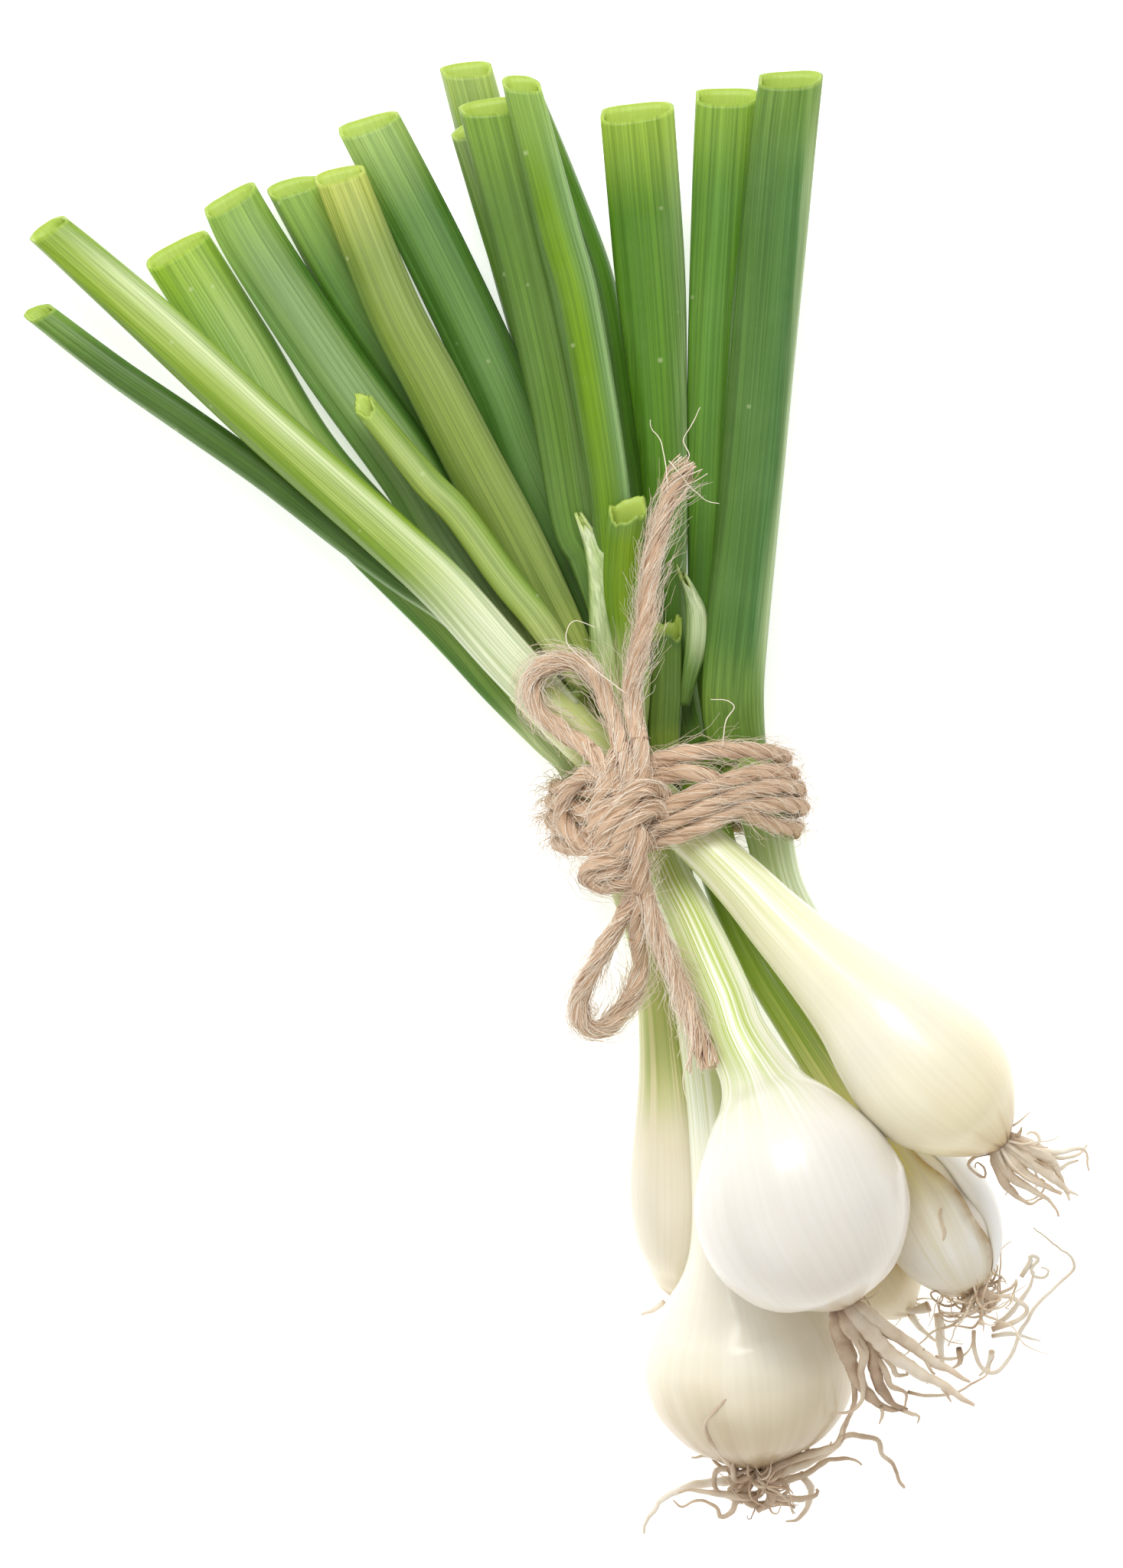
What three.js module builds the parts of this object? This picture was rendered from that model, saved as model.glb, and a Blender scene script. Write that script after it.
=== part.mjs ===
// A bunch of six spring onions tied with jute twine, lying on a flat surface.
//
// Units are millimetres. +Z is up, +Y runs along the bunch from the roots to the cut leaf tips,
// X runs across it. The bunch rests on the plane z = 0. Routes are written in a working frame whose
// y = 0 is the tie; the finished group is moved so that its origin is the bottom centre of its box.
//
// Each onion is a solid bulb and neck, a tuft of roots below it, and the leaves that leave its neck.
// Leaves are flattened tubes, cut square and open at the tip. The twine goes round all six necks.

import * as THREE from "three";

// Driving dimensions
const LEAF_WALL = 0.7; // thickness of a leaf's wall at its cut end
const LEAF_BORE_DEPTH = 16; // how far the open end of a leaf goes in
const ROOT_PLATE_RADIUS = 1.9; // the small disc below a bulb that the roots leave
const TWINE_RADIUS = 1.35;
const TWINE_STEP = 7; // length of one straight piece of twine
const TIE_SLANT = THREE.MathUtils.degToRad(20); // the turns of the tie lie aslant across the bunch
const TIE_TURNS = 4;
const TIE_START = 0.37; // where on its outline the first turn begins, below the knot
const TIE_LEFT = { pitch: 2.95, middle: -2 }; // spacing and middle of the turns on the left side
const TIE_RIGHT = { pitch: 3.7, middle: 0.2 }; // the turns spread out on the right side

const BULB_SIDES = 16;
const LEAF_SIDES = 12;
const ROOT_SIDES = 8;
const TWINE_SIDES = 8;

// Onions. A bulb's radius grows from the root plate to bulbRadius over bulbDepth, and falls to
// neckRadius over shoulder; a larger taper makes a leaner shoulder, a larger rootTaper a leaner root
// end. From there the neck narrows to tieRadius. stem is the middle line from the root plate through
// the tie, [x, y, z]. A leaf's width is [at its base, halfway, at its tip]; thick is its thickness,
// measured upwards.
const onions = [
  {
    name: "onion_1",
    bulbRadius: 17.2,
    bulbDepth: 17.9,
    shoulder: 23,
    taper: 1.4,
    neckRadius: 5.6,
    tieRadius: 3.5,
    stem: [
      [-2.5, -84.5, 36.5], [-4.5, -67, 40.3], [-4, -53, 39], [-4.5, -45, 36], [-5, -38, 33.5],
      [-5, -32, 30.5], [-5.5, -25, 27], [-6, -18.5, 23], [-6.5, -12, 18.7], [-6.5, -5, 16.2],
      [-6, 2, 15.8], [-5.5, 9, 16], [-4.8, 15, 16.6], [-4, 19, 17],
    ],
    roots: { path: [[-2, -86.5, 36], [2, -94, 33], [7, -102, 29]], radius: [2.4, 3.2, 1.2] },
    leaves: {
      leaf_1a: { path: [[-3, 20.4, 15.2], [0, 33, 16.6], [1, 46, 18.2], [3.5, 68, 20.2], [6.5, 90, 21],
        [9, 117, 21.2]], width: [6.6, 9.4, 9.6], thick: 4.2 },
      leaf_1b: { path: [[-2.6, 20.4, 19.6], [-0.3, 27, 20.6], [3.5, 41.5, 22.2], [7, 56, 24.5],
                        [11, 81, 26], [13, 94, 26.2],
        [15, 118, 26.4]], width: [4.6, 6.8, 6.2], thick: 3.7 },
      leaf_1c: { path: [[-1.8, 20.6, 23.5], [0, 27, 24.6], [2, 34, 25.6], [4.5, 41, 26.8], [7.5, 47, 28.2]],
        width: [3.4, 5.6, 6.2], thick: 3.2 },
    },
  },
  {
    name: "onion_2",
    bulbRadius: 12.1,
    bulbDepth: 17.4,
    shoulder: 35,
    taper: 2.8,
    neckRadius: 5,
    tieRadius: 3.5,
    stem: [
      [29, -69, 39.5], [21.5, -53, 41], [18, -46, 40.4], [15, -39.5, 38.6], [11, -31, 35.8],
      [7, -22.5, 32.5], [4.5, -17, 30], [1.5, -10, 27], [-2.5, -2, 24.7], [-6.5, 5, 24],
      [-10.5, 12, 23.4], [-14, 19, 22.6],
    ],
    roots: { path: [[30, -70.5, 39], [36, -76, 36.5], [42, -80, 33.5]], radius: [2.4, 4.2, 2] },
    leaves: {
      leaf_2a: { path: [[-14.5, 20.5, 22.4], [-19, 31.5, 21.2], [-24.5, 45, 20], [-31, 58, 18.7],
        [-43, 80.5, 16.6], [-54.5, 103.5, 14.5], [-66, 124, 12.6]], width: [7.8, 8.2, 6.8], thick: 6.2 },
      leaf_2b: { path: [[-21, 32, 16.3], [-26.5, 43, 15.4], [-31.5, 50, 14.2], [-37.5, 59.5, 13],
                        [-46, 73, 11.4],
        [-54.5, 86, 9.8], [-63.5, 98.5, 8.4], [-72.5, 112, 7.2]], width: [3.6, 5, 4.4], thick: 3.6 },
      leaf_2c: { path: [[-9, 22.5, 20.2], [-10.5, 28.5, 20.6], [-12.5, 36, 20.8], [-15, 44, 20.8],
                        [-18.5, 56, 20.6],
        [-21.5, 63.5, 20.3], [-27, 78.5, 19.6]], width: [3, 5, 3.8], thick: 3.2 },
    },
  },
  {
    name: "onion_3",
    bulbRadius: 17.1,
    bulbDepth: 17.7,
    shoulder: 24.5,
    taper: 1.85,
    neckRadius: 4.8,
    tieRadius: 3.3,
    stem: [
      [-25.5, -107, 17.3], [-21, -90, 17.3], [-20, -83.5, 18.4], [-19, -78, 19.8], [-18, -72.5, 20.6],
      [-17, -66, 20.8], [-15, -58, 20.4], [-12.5, -48, 17.8], [-10.5, -38.5, 16.2], [-8.5, -28.5, 15],
      [-6.3, -17.5, 11.6], [-4.8, -7, 8.4], [-4, 1.5, 7.9], [-3.5, 8.5, 8], [-3, 14.5, 8],
    ],
    roots: { path: [[-26, -109, 16.5], [-25, -114, 12], [-21.5, -118, 6]], radius: [2.6, 6, 3.5] },
    leaves: {
      leaf_3a: { path: [[-7.6, 16, 6.2], [-10, 22.5, 6.6], [-11, 30.5, 7.1], [-12, 45, 7.5],
                        [-13.5, 58.5, 7.4],
        [-18.5, 81, 6.8], [-22.5, 97, 6.4], [-25.5, 117.5, 6]], width: [4.2, 9, 8.6], thick: 3.8 },
      leaf_3b: { path: [[-8.6, 23.5, 12.8], [-8.7, 29, 14.4], [-9.5, 39, 15.6], [-11, 50, 15.8],
                        [-13, 64, 15.6], [-15, 78, 15],
        [-17, 92.5, 14], [-17.5, 116, 12]], width: [5, 9, 8.4], thick: 4 },
      leaf_3c: { path: [[-3.3, 19.5, 8.4], [-2.4, 27, 9], [-2.6, 37, 9.4], [-3.4, 47.5, 9.6],
        [-4.5, 61.5, 9.4], [-5, 75, 9], [-7.5, 100.5, 7.8], [-10.5, 123, 6.5]],
        width: [6, 10.6, 10.2], thick: 4 },
    },
  },
  {
    name: "onion_4",
    bulbRadius: 8.4,
    bulbDepth: 15,
    rootTaper: 0.9,
    shoulder: 32,
    taper: 2.1,
    neckRadius: 4.2,
    tieRadius: 3,
    stem: [
      [-28, -75.5, 3.4], [-26.6, -72, 5], [-25, -68.5, 7.3], [-22.5, -62, 8.8], [-20, -55.5, 8.8],
      [-18, -48, 8.6], [-16.5, -41, 8.4], [-14.2, -31, 8.2], [-13, -20.5, 8], [-13, -8, 7.9],
      [-13, 2.5, 7.9], [-13.1, 9, 8],
    ],
    roots: { path: [[-28.5, -76.8, 3.2], [-31, -80.5, 2.6], [-34.5, -84, 1.8]], radius: [1.6, 1.9, 1] },
    leaves: {
      leaf_4a: { path: [[-13.7, 10.4, 7.9], [-16, 17.5, 7.6], [-20.5, 29, 7.1], [-25.5, 42, 6.5],
        [-38, 72, 5], [-43.5, 96, 3.8], [-47.5, 115, 2.6]], width: [6.6, 11.6, 11.6], thick: 4.4 },
      leaf_4b: { path: [[-13.8, 14.5, 12.6], [-15.6, 27, 12.2], [-18.2, 42, 12.2], [-21.4, 55.5, 12],
                        [-23.8, 66, 11.4], [-29.3, 87, 9.6],
        [-34.6, 109.5, 8], [-36.2, 119, 7.4]], width: [5, 10, 9.6], thick: 4 },
    },
  },
  {
    name: "onion_5",
    bulbRadius: 9.4,
    bulbDepth: 15.3,
    shoulder: 26.5,
    taper: 4.5,
    neckRadius: 4.3,
    tieRadius: 3.4,
    stem: [
      [17, -91.5, 22.5], [15.7, -76.5, 23.5], [15, -71, 23.3], [13.8, -65.5, 22.5], [11.5, -59.5, 21.2],
      [8.5, -51, 19.5], [6, -40.5, 17], [3.7, -30.5, 14.2], [2.6, -20, 10], [2.6, -11, 8],
      [3.6, -1.5, 7.9], [5.2, 8, 8], [6, 14, 8.4],
    ],
    roots: { path: [[17.3, -93.3, 22], [17, -98.5, 19], [19, -103, 14]], radius: [2.6, 5.2, 2.5] },
    leaves: {
      leaf_5a: { path: [[4.4, 15.6, 13], [8, 29.5, 15], [14.3, 47.5, 16.5], [19.7, 65.5, 18],
        [25, 83.5, 19], [31.5, 108, 20]], width: [5.2, 8.2, 12.2], thick: 4.2 },
      leaf_5b: { path: [[10.2, 15, 10.8], [16.2, 32.5, 13.4], [21.6, 47.5, 15.3], [31, 70.5, 18],
        [41, 93.5, 20], [46, 105.5, 20.8]], width: [3.2, 6.4, 10.4], thick: 3.8 },
      leaf_5c: { path: [[1.3, 12.5, 19.4], [3.6, 18, 20], [7, 27, 21]], width: [4.6, 5.2, 5], thick: 2.4 },
      leaf_5d: { path: [[5.6, 16, 7.6], [4.9, 26, 8.8], [4.9, 35.5, 9.5], [8.3, 50, 9.6],
                        [10.5, 61.5, 9.6], [13.2, 74.5, 9.6],
        [15, 87, 9.4], [15, 103.5, 9], [14.5, 116.5, 8.6]], width: [3.6, 8.4, 8.4], thick: 3.6 },
    },
  },
  {
    name: "onion_6",
    bulbRadius: 8.8,
    bulbDepth: 10.8,
    shoulder: 21,
    taper: 2,
    neckRadius: 3.9,
    tieRadius: 3.1,
    stem: [
      [7, -92.5, 8.8], [4.1, -82, 9], [4.3, -74.5, 8.9], [5, -69, 8.5], [6.7, -61.5, 8], [9.7, -51.5, 7.8],
      [12.2, -41.5, 8], [12.2, -31, 9.8], [10.2, -19.2, 14.2], [11.4, -9, 16.5], [12.5, 0, 17.5],
      [12.7, 7, 18], [12.9, 12.4, 18.8],
    ],
    roots: { path: [[7.5, -94, 8.6], [9.5, -98.5, 6.5], [11, -102.5, 3.5]], radius: [1.7, 2, 1.2] },
    leaves: {
      leaf_6a: { path: [[13.2, 14.6, 20.2], [19, 25.5, 21.2], [30, 48, 22.6], [40.3, 70.5, 24],
        [50.2, 92, 25], [56, 103.5, 25.6]], width: [9.6, 10, 10.2], thick: 4.7 },
      leaf_6b: { path: [[2.6, 17.5, 4], [0.3, 25.5, 4], [-1, 33.5, 4], [0.7, 47.5, 3.8],
                        [2.3, 63.5, 3.6], [4, 79, 3.4], [5.2, 95, 3],
        [8, 126.5, 2.2]], width: [4.4, 8.6, 8.4], thick: 3.7 },
      leaf_6c: { path: [[-0.4, 41, 13.5], [0.8, 47.5, 13.8], [3.1, 63.5, 13.9], [4.6, 80.5, 13.8],
        [5.4, 98, 13], [6.2, 115.5, 12]], width: [5.4, 8.2, 8.4], thick: 3.2 },
    },
  },
];

// The ring that the twine takes round the necks, seen along the bunch: [across, height].
const tieOutline = [
  [19.2, 16], [18, 22.4], [13, 28], [7, 31.8], [-1, 31.4], [-9, 29.9], [-16.6, 26.2], [-20.2, 17],
  [-20.6, 8.5], [-16.4, 2.8], [-3, 2.5], [7.5, 2.8], [14.5, 8],
];

// Free ends and loops of the bow, from the knot outward, [x, y, z].
const bow = {
  twine_upper_loop: [[-6.6, 10.2, 36], [-6.2, 16, 33], [-6.4, 22, 30.4], [-8, 26, 29.2], [-11.5, 28, 28.6],
    [-15, 27.6, 28.2], [-17.2, 25.4, 28], [-17, 21.2, 28.2], [-14.4, 17, 29.4], [-11.5, 12.5, 32.4]],
  twine_upper_tail: [[-3.6, 11.6, 36.4], [-1.8, 19.5, 34], [3.6, 28.5, 33.4], [8.2, 37.5, 33.4],
    [14, 46, 32], [19.5, 50.5, 31]],
  twine_lower_loop: [[-14.8, -13.6, 31], [-20, -18, 28.6], [-24, -21.5, 26.8], [-27, -25, 25.4],
    [-27.6, -29, 24.6], [-25, -30.6, 24.2], [-22, -29.4, 24.2], [-18.5, -27, 24.8], [-16, -23.5, 26],
    [-14.6, -18.6, 29]],
  twine_lower_tail: [[-11, -12, 33.8], [-11.4, -19, 33.4], [-11, -27, 34.6], [-11, -34.5, 36.4],
    [-11.4, -41.5, 38]],
};

// The knot: a short length of twine laid as an overhand knot on top of the turns.
const knot = { centre: [-8.5, 1.5, 36.4], size: 5.6, depth: 1.75, stretch: 1.35, cut: 0.22 };

const bunch = new THREE.Group();
const up = new THREE.Vector3(0, 0, 1);

const looks = {
  whiteBulb: { color: 0xf1eee8, roughness: 0.32, metalness: 0 },
  creamBulb: { color: 0xf2ecd2, roughness: 0.35, metalness: 0 },
  roots: { color: 0xb39f84, roughness: 0.85, metalness: 0 },
  brightLeaf: { color: 0x6d9f2e, roughness: 0.45, metalness: 0 },
  darkLeaf: { color: 0x467c3a, roughness: 0.45, metalness: 0 },
  oliveLeaf: { color: 0x95a24c, roughness: 0.5, metalness: 0 },
  twine: { color: 0xb98f68, roughness: 0.95, metalness: 0 },
};

const brightLeaves = [
  "leaf_2a", "leaf_1b", "leaf_1c", "leaf_4a", "leaf_3a", "leaf_5b", "leaf_5d", "leaf_6b",
];
const oliveLeaves = ["leaf_3b", "leaf_2c"];

function addMesh(name, geometry, look) {
  const mesh = new THREE.Mesh(geometry, new THREE.MeshStandardMaterial(look));
  mesh.name = name;
  bunch.add(mesh);
}

function curveThrough(points) {
  return new THREE.CatmullRomCurve3(points.map((p) => new THREE.Vector3(...p)), false, "catmullrom", 0.5);
}

// One elliptical ring of points across a curve; halfWidth lies level, halfHeight stands up.
function ringAcross(centre, tangent, halfWidth, halfHeight, sides) {
  const side = new THREE.Vector3().crossVectors(tangent, up).normalize();
  const upright = new THREE.Vector3().crossVectors(side, tangent).normalize();
  const ring = [];
  for (let i = 0; i < sides; i += 1) {
    const angle = (2 * Math.PI * i) / sides;
    const point = centre.clone();
    point.addScaledVector(side, halfWidth * Math.cos(angle));
    point.addScaledVector(upright, halfHeight * Math.sin(angle));
    ring.push(point);
  }
  return ring;
}

// A closed solid from a chain of rings with equal numbers of points, with a flat fan at each end.
function solidFromRings(rings) {
  const sides = rings[0].length;
  const positions = [];
  const indices = [];
  for (const ring of rings) {
    for (const point of ring) positions.push(point.x, point.y, point.z);
  }
  for (let r = 0; r + 1 < rings.length; r += 1) {
    for (let i = 0; i < sides; i += 1) {
      const a = r * sides + i;
      const b = r * sides + ((i + 1) % sides);
      indices.push(a, b + sides, b, a, a + sides, b + sides);
    }
  }
  const addCap = (ring, first, flip) => {
    const middle = new THREE.Vector3();
    for (const point of ring) middle.addScaledVector(point, 1 / sides);
    const centre = positions.length / 3;
    positions.push(middle.x, middle.y, middle.z);
    for (let i = 0; i < sides; i += 1) {
      const a = first + i;
      const b = first + ((i + 1) % sides);
      if (flip) indices.push(centre, b, a);
      else indices.push(centre, a, b);
    }
  };
  addCap(rings[0], 0, false);
  addCap(rings[rings.length - 1], (rings.length - 1) * sides, true);
  const geometry = new THREE.BufferGeometry();
  geometry.setAttribute("position", new THREE.Float32BufferAttribute(positions, 3));
  geometry.setIndex(indices);
  geometry.computeVertexNormals();
  return geometry;
}

function ringOnCurve(curve, length, distance, halfWidth, halfHeight, sides) {
  const t = THREE.MathUtils.clamp(distance / length, 0, 1);
  return ringAcross(curve.getPointAt(t), curve.getTangentAt(t), halfWidth, halfHeight, sides);
}

// Radius of an onion at a distance from its root plate.
function onionRadius(onion, distance, length) {
  const { bulbRadius, bulbDepth, rootTaper = 0.5, shoulder, taper, neckRadius, tieRadius } = onion;
  if (distance <= bulbDepth) {
    const k = 1 - distance / bulbDepth;
    return Math.max(ROOT_PLATE_RADIUS, bulbRadius * (1 - k * k) ** rootTaper);
  }
  if (distance <= bulbDepth + shoulder) {
    const fall = Math.max(0, Math.cos(((distance - bulbDepth) / shoulder) * (Math.PI / 2)));
    return neckRadius + (bulbRadius - neckRadius) * fall ** taper;
  }
  const k = (distance - bulbDepth - shoulder) / (length - bulbDepth - shoulder);
  return THREE.MathUtils.lerp(neckRadius, tieRadius, Math.min(1, 1.6 * k));
}

function makeBulb(onion) {
  const curve = curveThrough(onion.stem);
  const length = curve.getLength();
  const distances = [];
  for (let i = 0; i <= 6; i += 1) distances.push(onion.bulbDepth * (1 - Math.cos((i * Math.PI) / 12)));
  for (let i = 1; i <= 6; i += 1) distances.push(onion.bulbDepth + (onion.shoulder * i) / 6);
  const neckStart = onion.bulbDepth + onion.shoulder;
  for (let i = 1; i <= 8; i += 1) distances.push(neckStart + ((length - neckStart) * i) / 8);
  const rings = distances.map((d) => {
    const radius = onionRadius(onion, d, length);
    return ringOnCurve(curve, length, d, radius, radius, BULB_SIDES);
  });
  return solidFromRings(rings);
}

function makeRoots(roots) {
  const curve = curveThrough(roots.path);
  const length = curve.getLength();
  const [first, middle, last] = roots.radius;
  const rings = [];
  for (let i = 0; i <= 6; i += 1) {
    const k = i / 6;
    const radius = first * (1 - k) * (1 - 2 * k) + 4 * middle * k * (1 - k) + last * k * (2 * k - 1);
    rings.push(ringOnCurve(curve, length, k * length, radius, radius * 0.8, ROOT_SIDES));
  }
  return solidFromRings(rings);
}

// A leaf: out along the skin to the cut, then back down the inside to the bottom of the hollow.
function makeLeaf(leaf) {
  const curve = curveThrough(leaf.path);
  const length = curve.getLength();
  const [base, middle, tip] = leaf.width;
  const halfWidthAt = (d) => {
    const k = d / length;
    return 0.5 * (k < 0.5
      ? THREE.MathUtils.lerp(base, middle, Math.sin(k * Math.PI))
      : THREE.MathUtils.lerp(middle, tip, 2 * k - 1));
  };
  const halfThick = leaf.thick / 2;
  const steps = Math.max(3, Math.round(length / 12));
  const rings = [];
  for (let i = 0; i <= steps; i += 1) {
    const d = (length * i) / steps;
    rings.push(ringOnCurve(curve, length, d, halfWidthAt(d), halfThick, LEAF_SIDES));
  }
  const bore = Math.min(LEAF_BORE_DEPTH, length / 2);
  for (let i = 0; i <= 2; i += 1) {
    const d = length - (bore * i) / 2;
    const halfWidth = halfWidthAt(d) - LEAF_WALL;
    rings.push(ringOnCurve(curve, length, d, halfWidth, halfThick - LEAF_WALL, LEAF_SIDES));
  }
  return solidFromRings(rings);
}

// A tube of twine along a curve.
function makeTwine(curve) {
  const section = new THREE.Shape();
  for (let i = 0; i < TWINE_SIDES; i += 1) {
    const angle = (2 * Math.PI * i) / TWINE_SIDES;
    const x = TWINE_RADIUS * Math.cos(angle);
    const y = TWINE_RADIUS * Math.sin(angle);
    if (i === 0) section.moveTo(x, y);
    else section.lineTo(x, y);
  }
  section.closePath();
  const steps = Math.ceil(curve.getLength() / TWINE_STEP);
  return new THREE.ExtrudeGeometry(section, { steps, extrudePath: curve, bevelEnabled: false });
}

// The turns of the tie, one length of twine wound round the outline, climbing as it goes.
class TieCurve extends THREE.Curve {
  constructor() {
    super();
    const points = tieOutline.map(([across, height]) => new THREE.Vector3(across, 0, height));
    this.outline = new THREE.CatmullRomCurve3(points, true, "catmullrom", 0.5);
  }

  getPoint(t, target = new THREE.Vector3()) {
    const ring = this.outline.getPointAt((t * TIE_TURNS + TIE_START) % 1);
    const rightward = THREE.MathUtils.smoothstep(ring.x, -tieOutline[0][0], tieOutline[0][0]);
    const pitch = THREE.MathUtils.lerp(TIE_LEFT.pitch, TIE_RIGHT.pitch, rightward);
    const middle = THREE.MathUtils.lerp(TIE_LEFT.middle, TIE_RIGHT.middle, rightward);
    const along = middle + pitch * (t - 0.5) * TIE_TURNS;
    target.set(ring.x, along, ring.z);
    return target.applyAxisAngle(up, -TIE_SLANT);
  }
}

class KnotCurve extends THREE.Curve {
  getPoint(t, target = new THREE.Vector3()) {
    const a = 2 * Math.PI * (knot.cut / 2 + t * (1 - knot.cut)) - Math.PI / 2;
    const x = (knot.size * (Math.sin(a) + 2 * Math.sin(2 * a))) / 3;
    const y = (knot.size * knot.stretch * (Math.cos(a) - 2 * Math.cos(2 * a))) / 3;
    target.set(x, y, -knot.depth * Math.sin(3 * a));
    return target.add(new THREE.Vector3(...knot.centre));
  }
}

for (const onion of onions) {
  const white = onion.name === "onion_1";
  addMesh(`${onion.name}_bulb`, makeBulb(onion), white ? looks.whiteBulb : looks.creamBulb);
  addMesh(`${onion.name}_roots`, makeRoots(onion.roots), looks.roots);
  for (const [name, leaf] of Object.entries(onion.leaves)) {
    let look = looks.darkLeaf;
    if (brightLeaves.includes(name)) look = looks.brightLeaf;
    if (oliveLeaves.includes(name)) look = looks.oliveLeaf;
    addMesh(name, makeLeaf(leaf), look);
  }
}

addMesh("twine_turns", makeTwine(new TieCurve()), looks.twine);
addMesh("twine_knot", makeTwine(new KnotCurve()), looks.twine);
for (const [name, points] of Object.entries(bow)) {
  addMesh(name, makeTwine(curveThrough(points)), looks.twine);
}

// The origin goes to the bottom centre of the bunch's box.
const box = new THREE.Box3().setFromObject(bunch);
const centre = box.getCenter(new THREE.Vector3());
for (const mesh of bunch.children) mesh.position.set(-centre.x, -centre.y, -box.min.z);

export default bunch;
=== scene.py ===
"""A bunch of six spring onions tied with jute twine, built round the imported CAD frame.

Every route below is in millimetres in the bunch's own frame: +Y runs from the roots to the cut leaf
tips, y = 0 is the tie, and z = 0 is the surface that the bunch lies on. place() turns them to metres
in the row frame. A bulb or leaf row is [x, y, z, half width, half height].
"""

import math
import random

import bpy
import numpy as np
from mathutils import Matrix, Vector


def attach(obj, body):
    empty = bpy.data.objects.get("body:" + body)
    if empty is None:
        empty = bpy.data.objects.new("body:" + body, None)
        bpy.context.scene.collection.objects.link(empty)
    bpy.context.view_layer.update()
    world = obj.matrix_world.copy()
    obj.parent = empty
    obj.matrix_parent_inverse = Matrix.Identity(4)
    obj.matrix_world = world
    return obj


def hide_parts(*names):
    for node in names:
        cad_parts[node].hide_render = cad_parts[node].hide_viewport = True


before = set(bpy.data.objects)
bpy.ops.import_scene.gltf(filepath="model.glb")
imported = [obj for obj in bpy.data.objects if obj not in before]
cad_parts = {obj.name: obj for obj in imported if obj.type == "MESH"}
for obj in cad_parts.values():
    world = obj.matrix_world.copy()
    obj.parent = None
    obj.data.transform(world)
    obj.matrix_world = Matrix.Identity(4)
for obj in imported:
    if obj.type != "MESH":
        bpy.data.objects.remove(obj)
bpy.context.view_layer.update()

MM = 0.001
BUNCH_SHIFT = np.array([6.888, -3.021, -0.2])  # from the tie's frame to the row frame, mm
TIE_SLANT = math.radians(20)  # the turns of the tie lie aslant across the bunch
UP = np.array([0.0, 0.0, 1.0])
TWINE_RADIUS = 1.35
FIBRE_FLOOR = 0.2  # lowest that a loose fibre lies above the surface, mm
ROOT_FLOOR = 0.8  # lowest that a root lies above the surface in the bunch's frame, mm

collection = bpy.context.scene.collection


def place(points):
    """Bunch millimetres to row-frame metres."""
    return (np.asarray(points, float)[..., :3] + BUNCH_SHIFT) * MM


def tie_point(across, along, height, girth=1.0):
    """A point given across and along the slanted turns of the tie."""
    c, s = math.cos(TIE_SLANT), math.sin(TIE_SLANT)
    return [across * c + along * s, along * c - across * s, height, girth]


# ---------------------------------------------------------------- camera, light and table

CAMERA_AT = (-17.65, 9.08, 873.3)
camera_data = bpy.data.cameras.new("camera")
camera_data.lens = 120
camera_data.sensor_fit = "AUTO"
camera_data.sensor_width = 36
camera_data.clip_start = 0.01
camera_data.clip_end = 20
camera = bpy.data.objects.new("camera", camera_data)
camera.location = place(CAMERA_AT)
camera.rotation_euler = (0, 0, -TIE_SLANT)
collection.objects.link(camera)
bpy.context.scene.camera = camera
bpy.context.scene.view_settings.view_transform = "Standard"


def linear(hex_colour):
    """An sRGB hex colour as linear RGBA."""
    channels = [int(hex_colour[i : i + 2], 16) / 255 for i in (0, 2, 4)]
    return [c / 12.92 if c <= 0.04045 else ((c + 0.055) / 1.055) ** 2.4 for c in channels] + [1.0]


def add(tree, kind, inputs=None, stops=(), **settings):
    """Adds one node with its settings, and fills or links its inputs by name or number.

    An input given as a node is linked from that node's first output. stops are a colour ramp's own:
    (place, hex colour or grey level), from 0 to 1.
    """
    node = tree.nodes.new(kind)
    for number, (position, tone) in enumerate(stops):
        element = node.color_ramp.elements[number] if number < 2 else node.color_ramp.elements.new(1.0)
        element.position = position
        element.color = linear(tone) if isinstance(tone, str) else [tone, tone, tone, 1.0]
    for key, value in settings.items():
        setattr(node, key, value)
    for key, value in (inputs or {}).items():
        if isinstance(value, bpy.types.Node):
            value = value.outputs[0]
        if isinstance(value, bpy.types.NodeSocket):
            tree.links.new(value, node.inputs[key])
        else:
            node.inputs[key].default_value = value
    return node


def new_material(name):
    """An empty node material, its tree and its Principled shader."""
    material = bpy.data.materials.new(name)
    material.use_nodes = True
    tree = material.node_tree
    return material, tree, tree.nodes["Principled BSDF"]


world = bpy.data.worlds.new("soft room")
world.use_nodes = True
world.node_tree.nodes["Background"].inputs["Color"].default_value = (1, 1, 1, 1)
world.node_tree.nodes["Background"].inputs["Strength"].default_value = 0.6
bpy.context.scene.world = world


def softbox(name, at, aim, size, watts):
    """A square area light at a place, aimed at another, both in mm from the tie."""
    data = bpy.data.lights.new(name, "AREA")
    data.shape = "SQUARE"
    data.size = size * MM
    data.energy = watts
    lamp = bpy.data.objects.new(name, data)
    start, end = Vector(place(at)), Vector(place(aim))
    lamp.location = start
    lamp.rotation_euler = (end - start).to_track_quat("-Z", "Y").to_euler()
    collection.objects.link(lamp)


softbox("key softbox", (60, 520, 620), (0, -10, 20), 420, 4.2)
softbox("fill softbox", (-420, -260, 520), (0, -20, 20), 500, 0.7)


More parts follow.
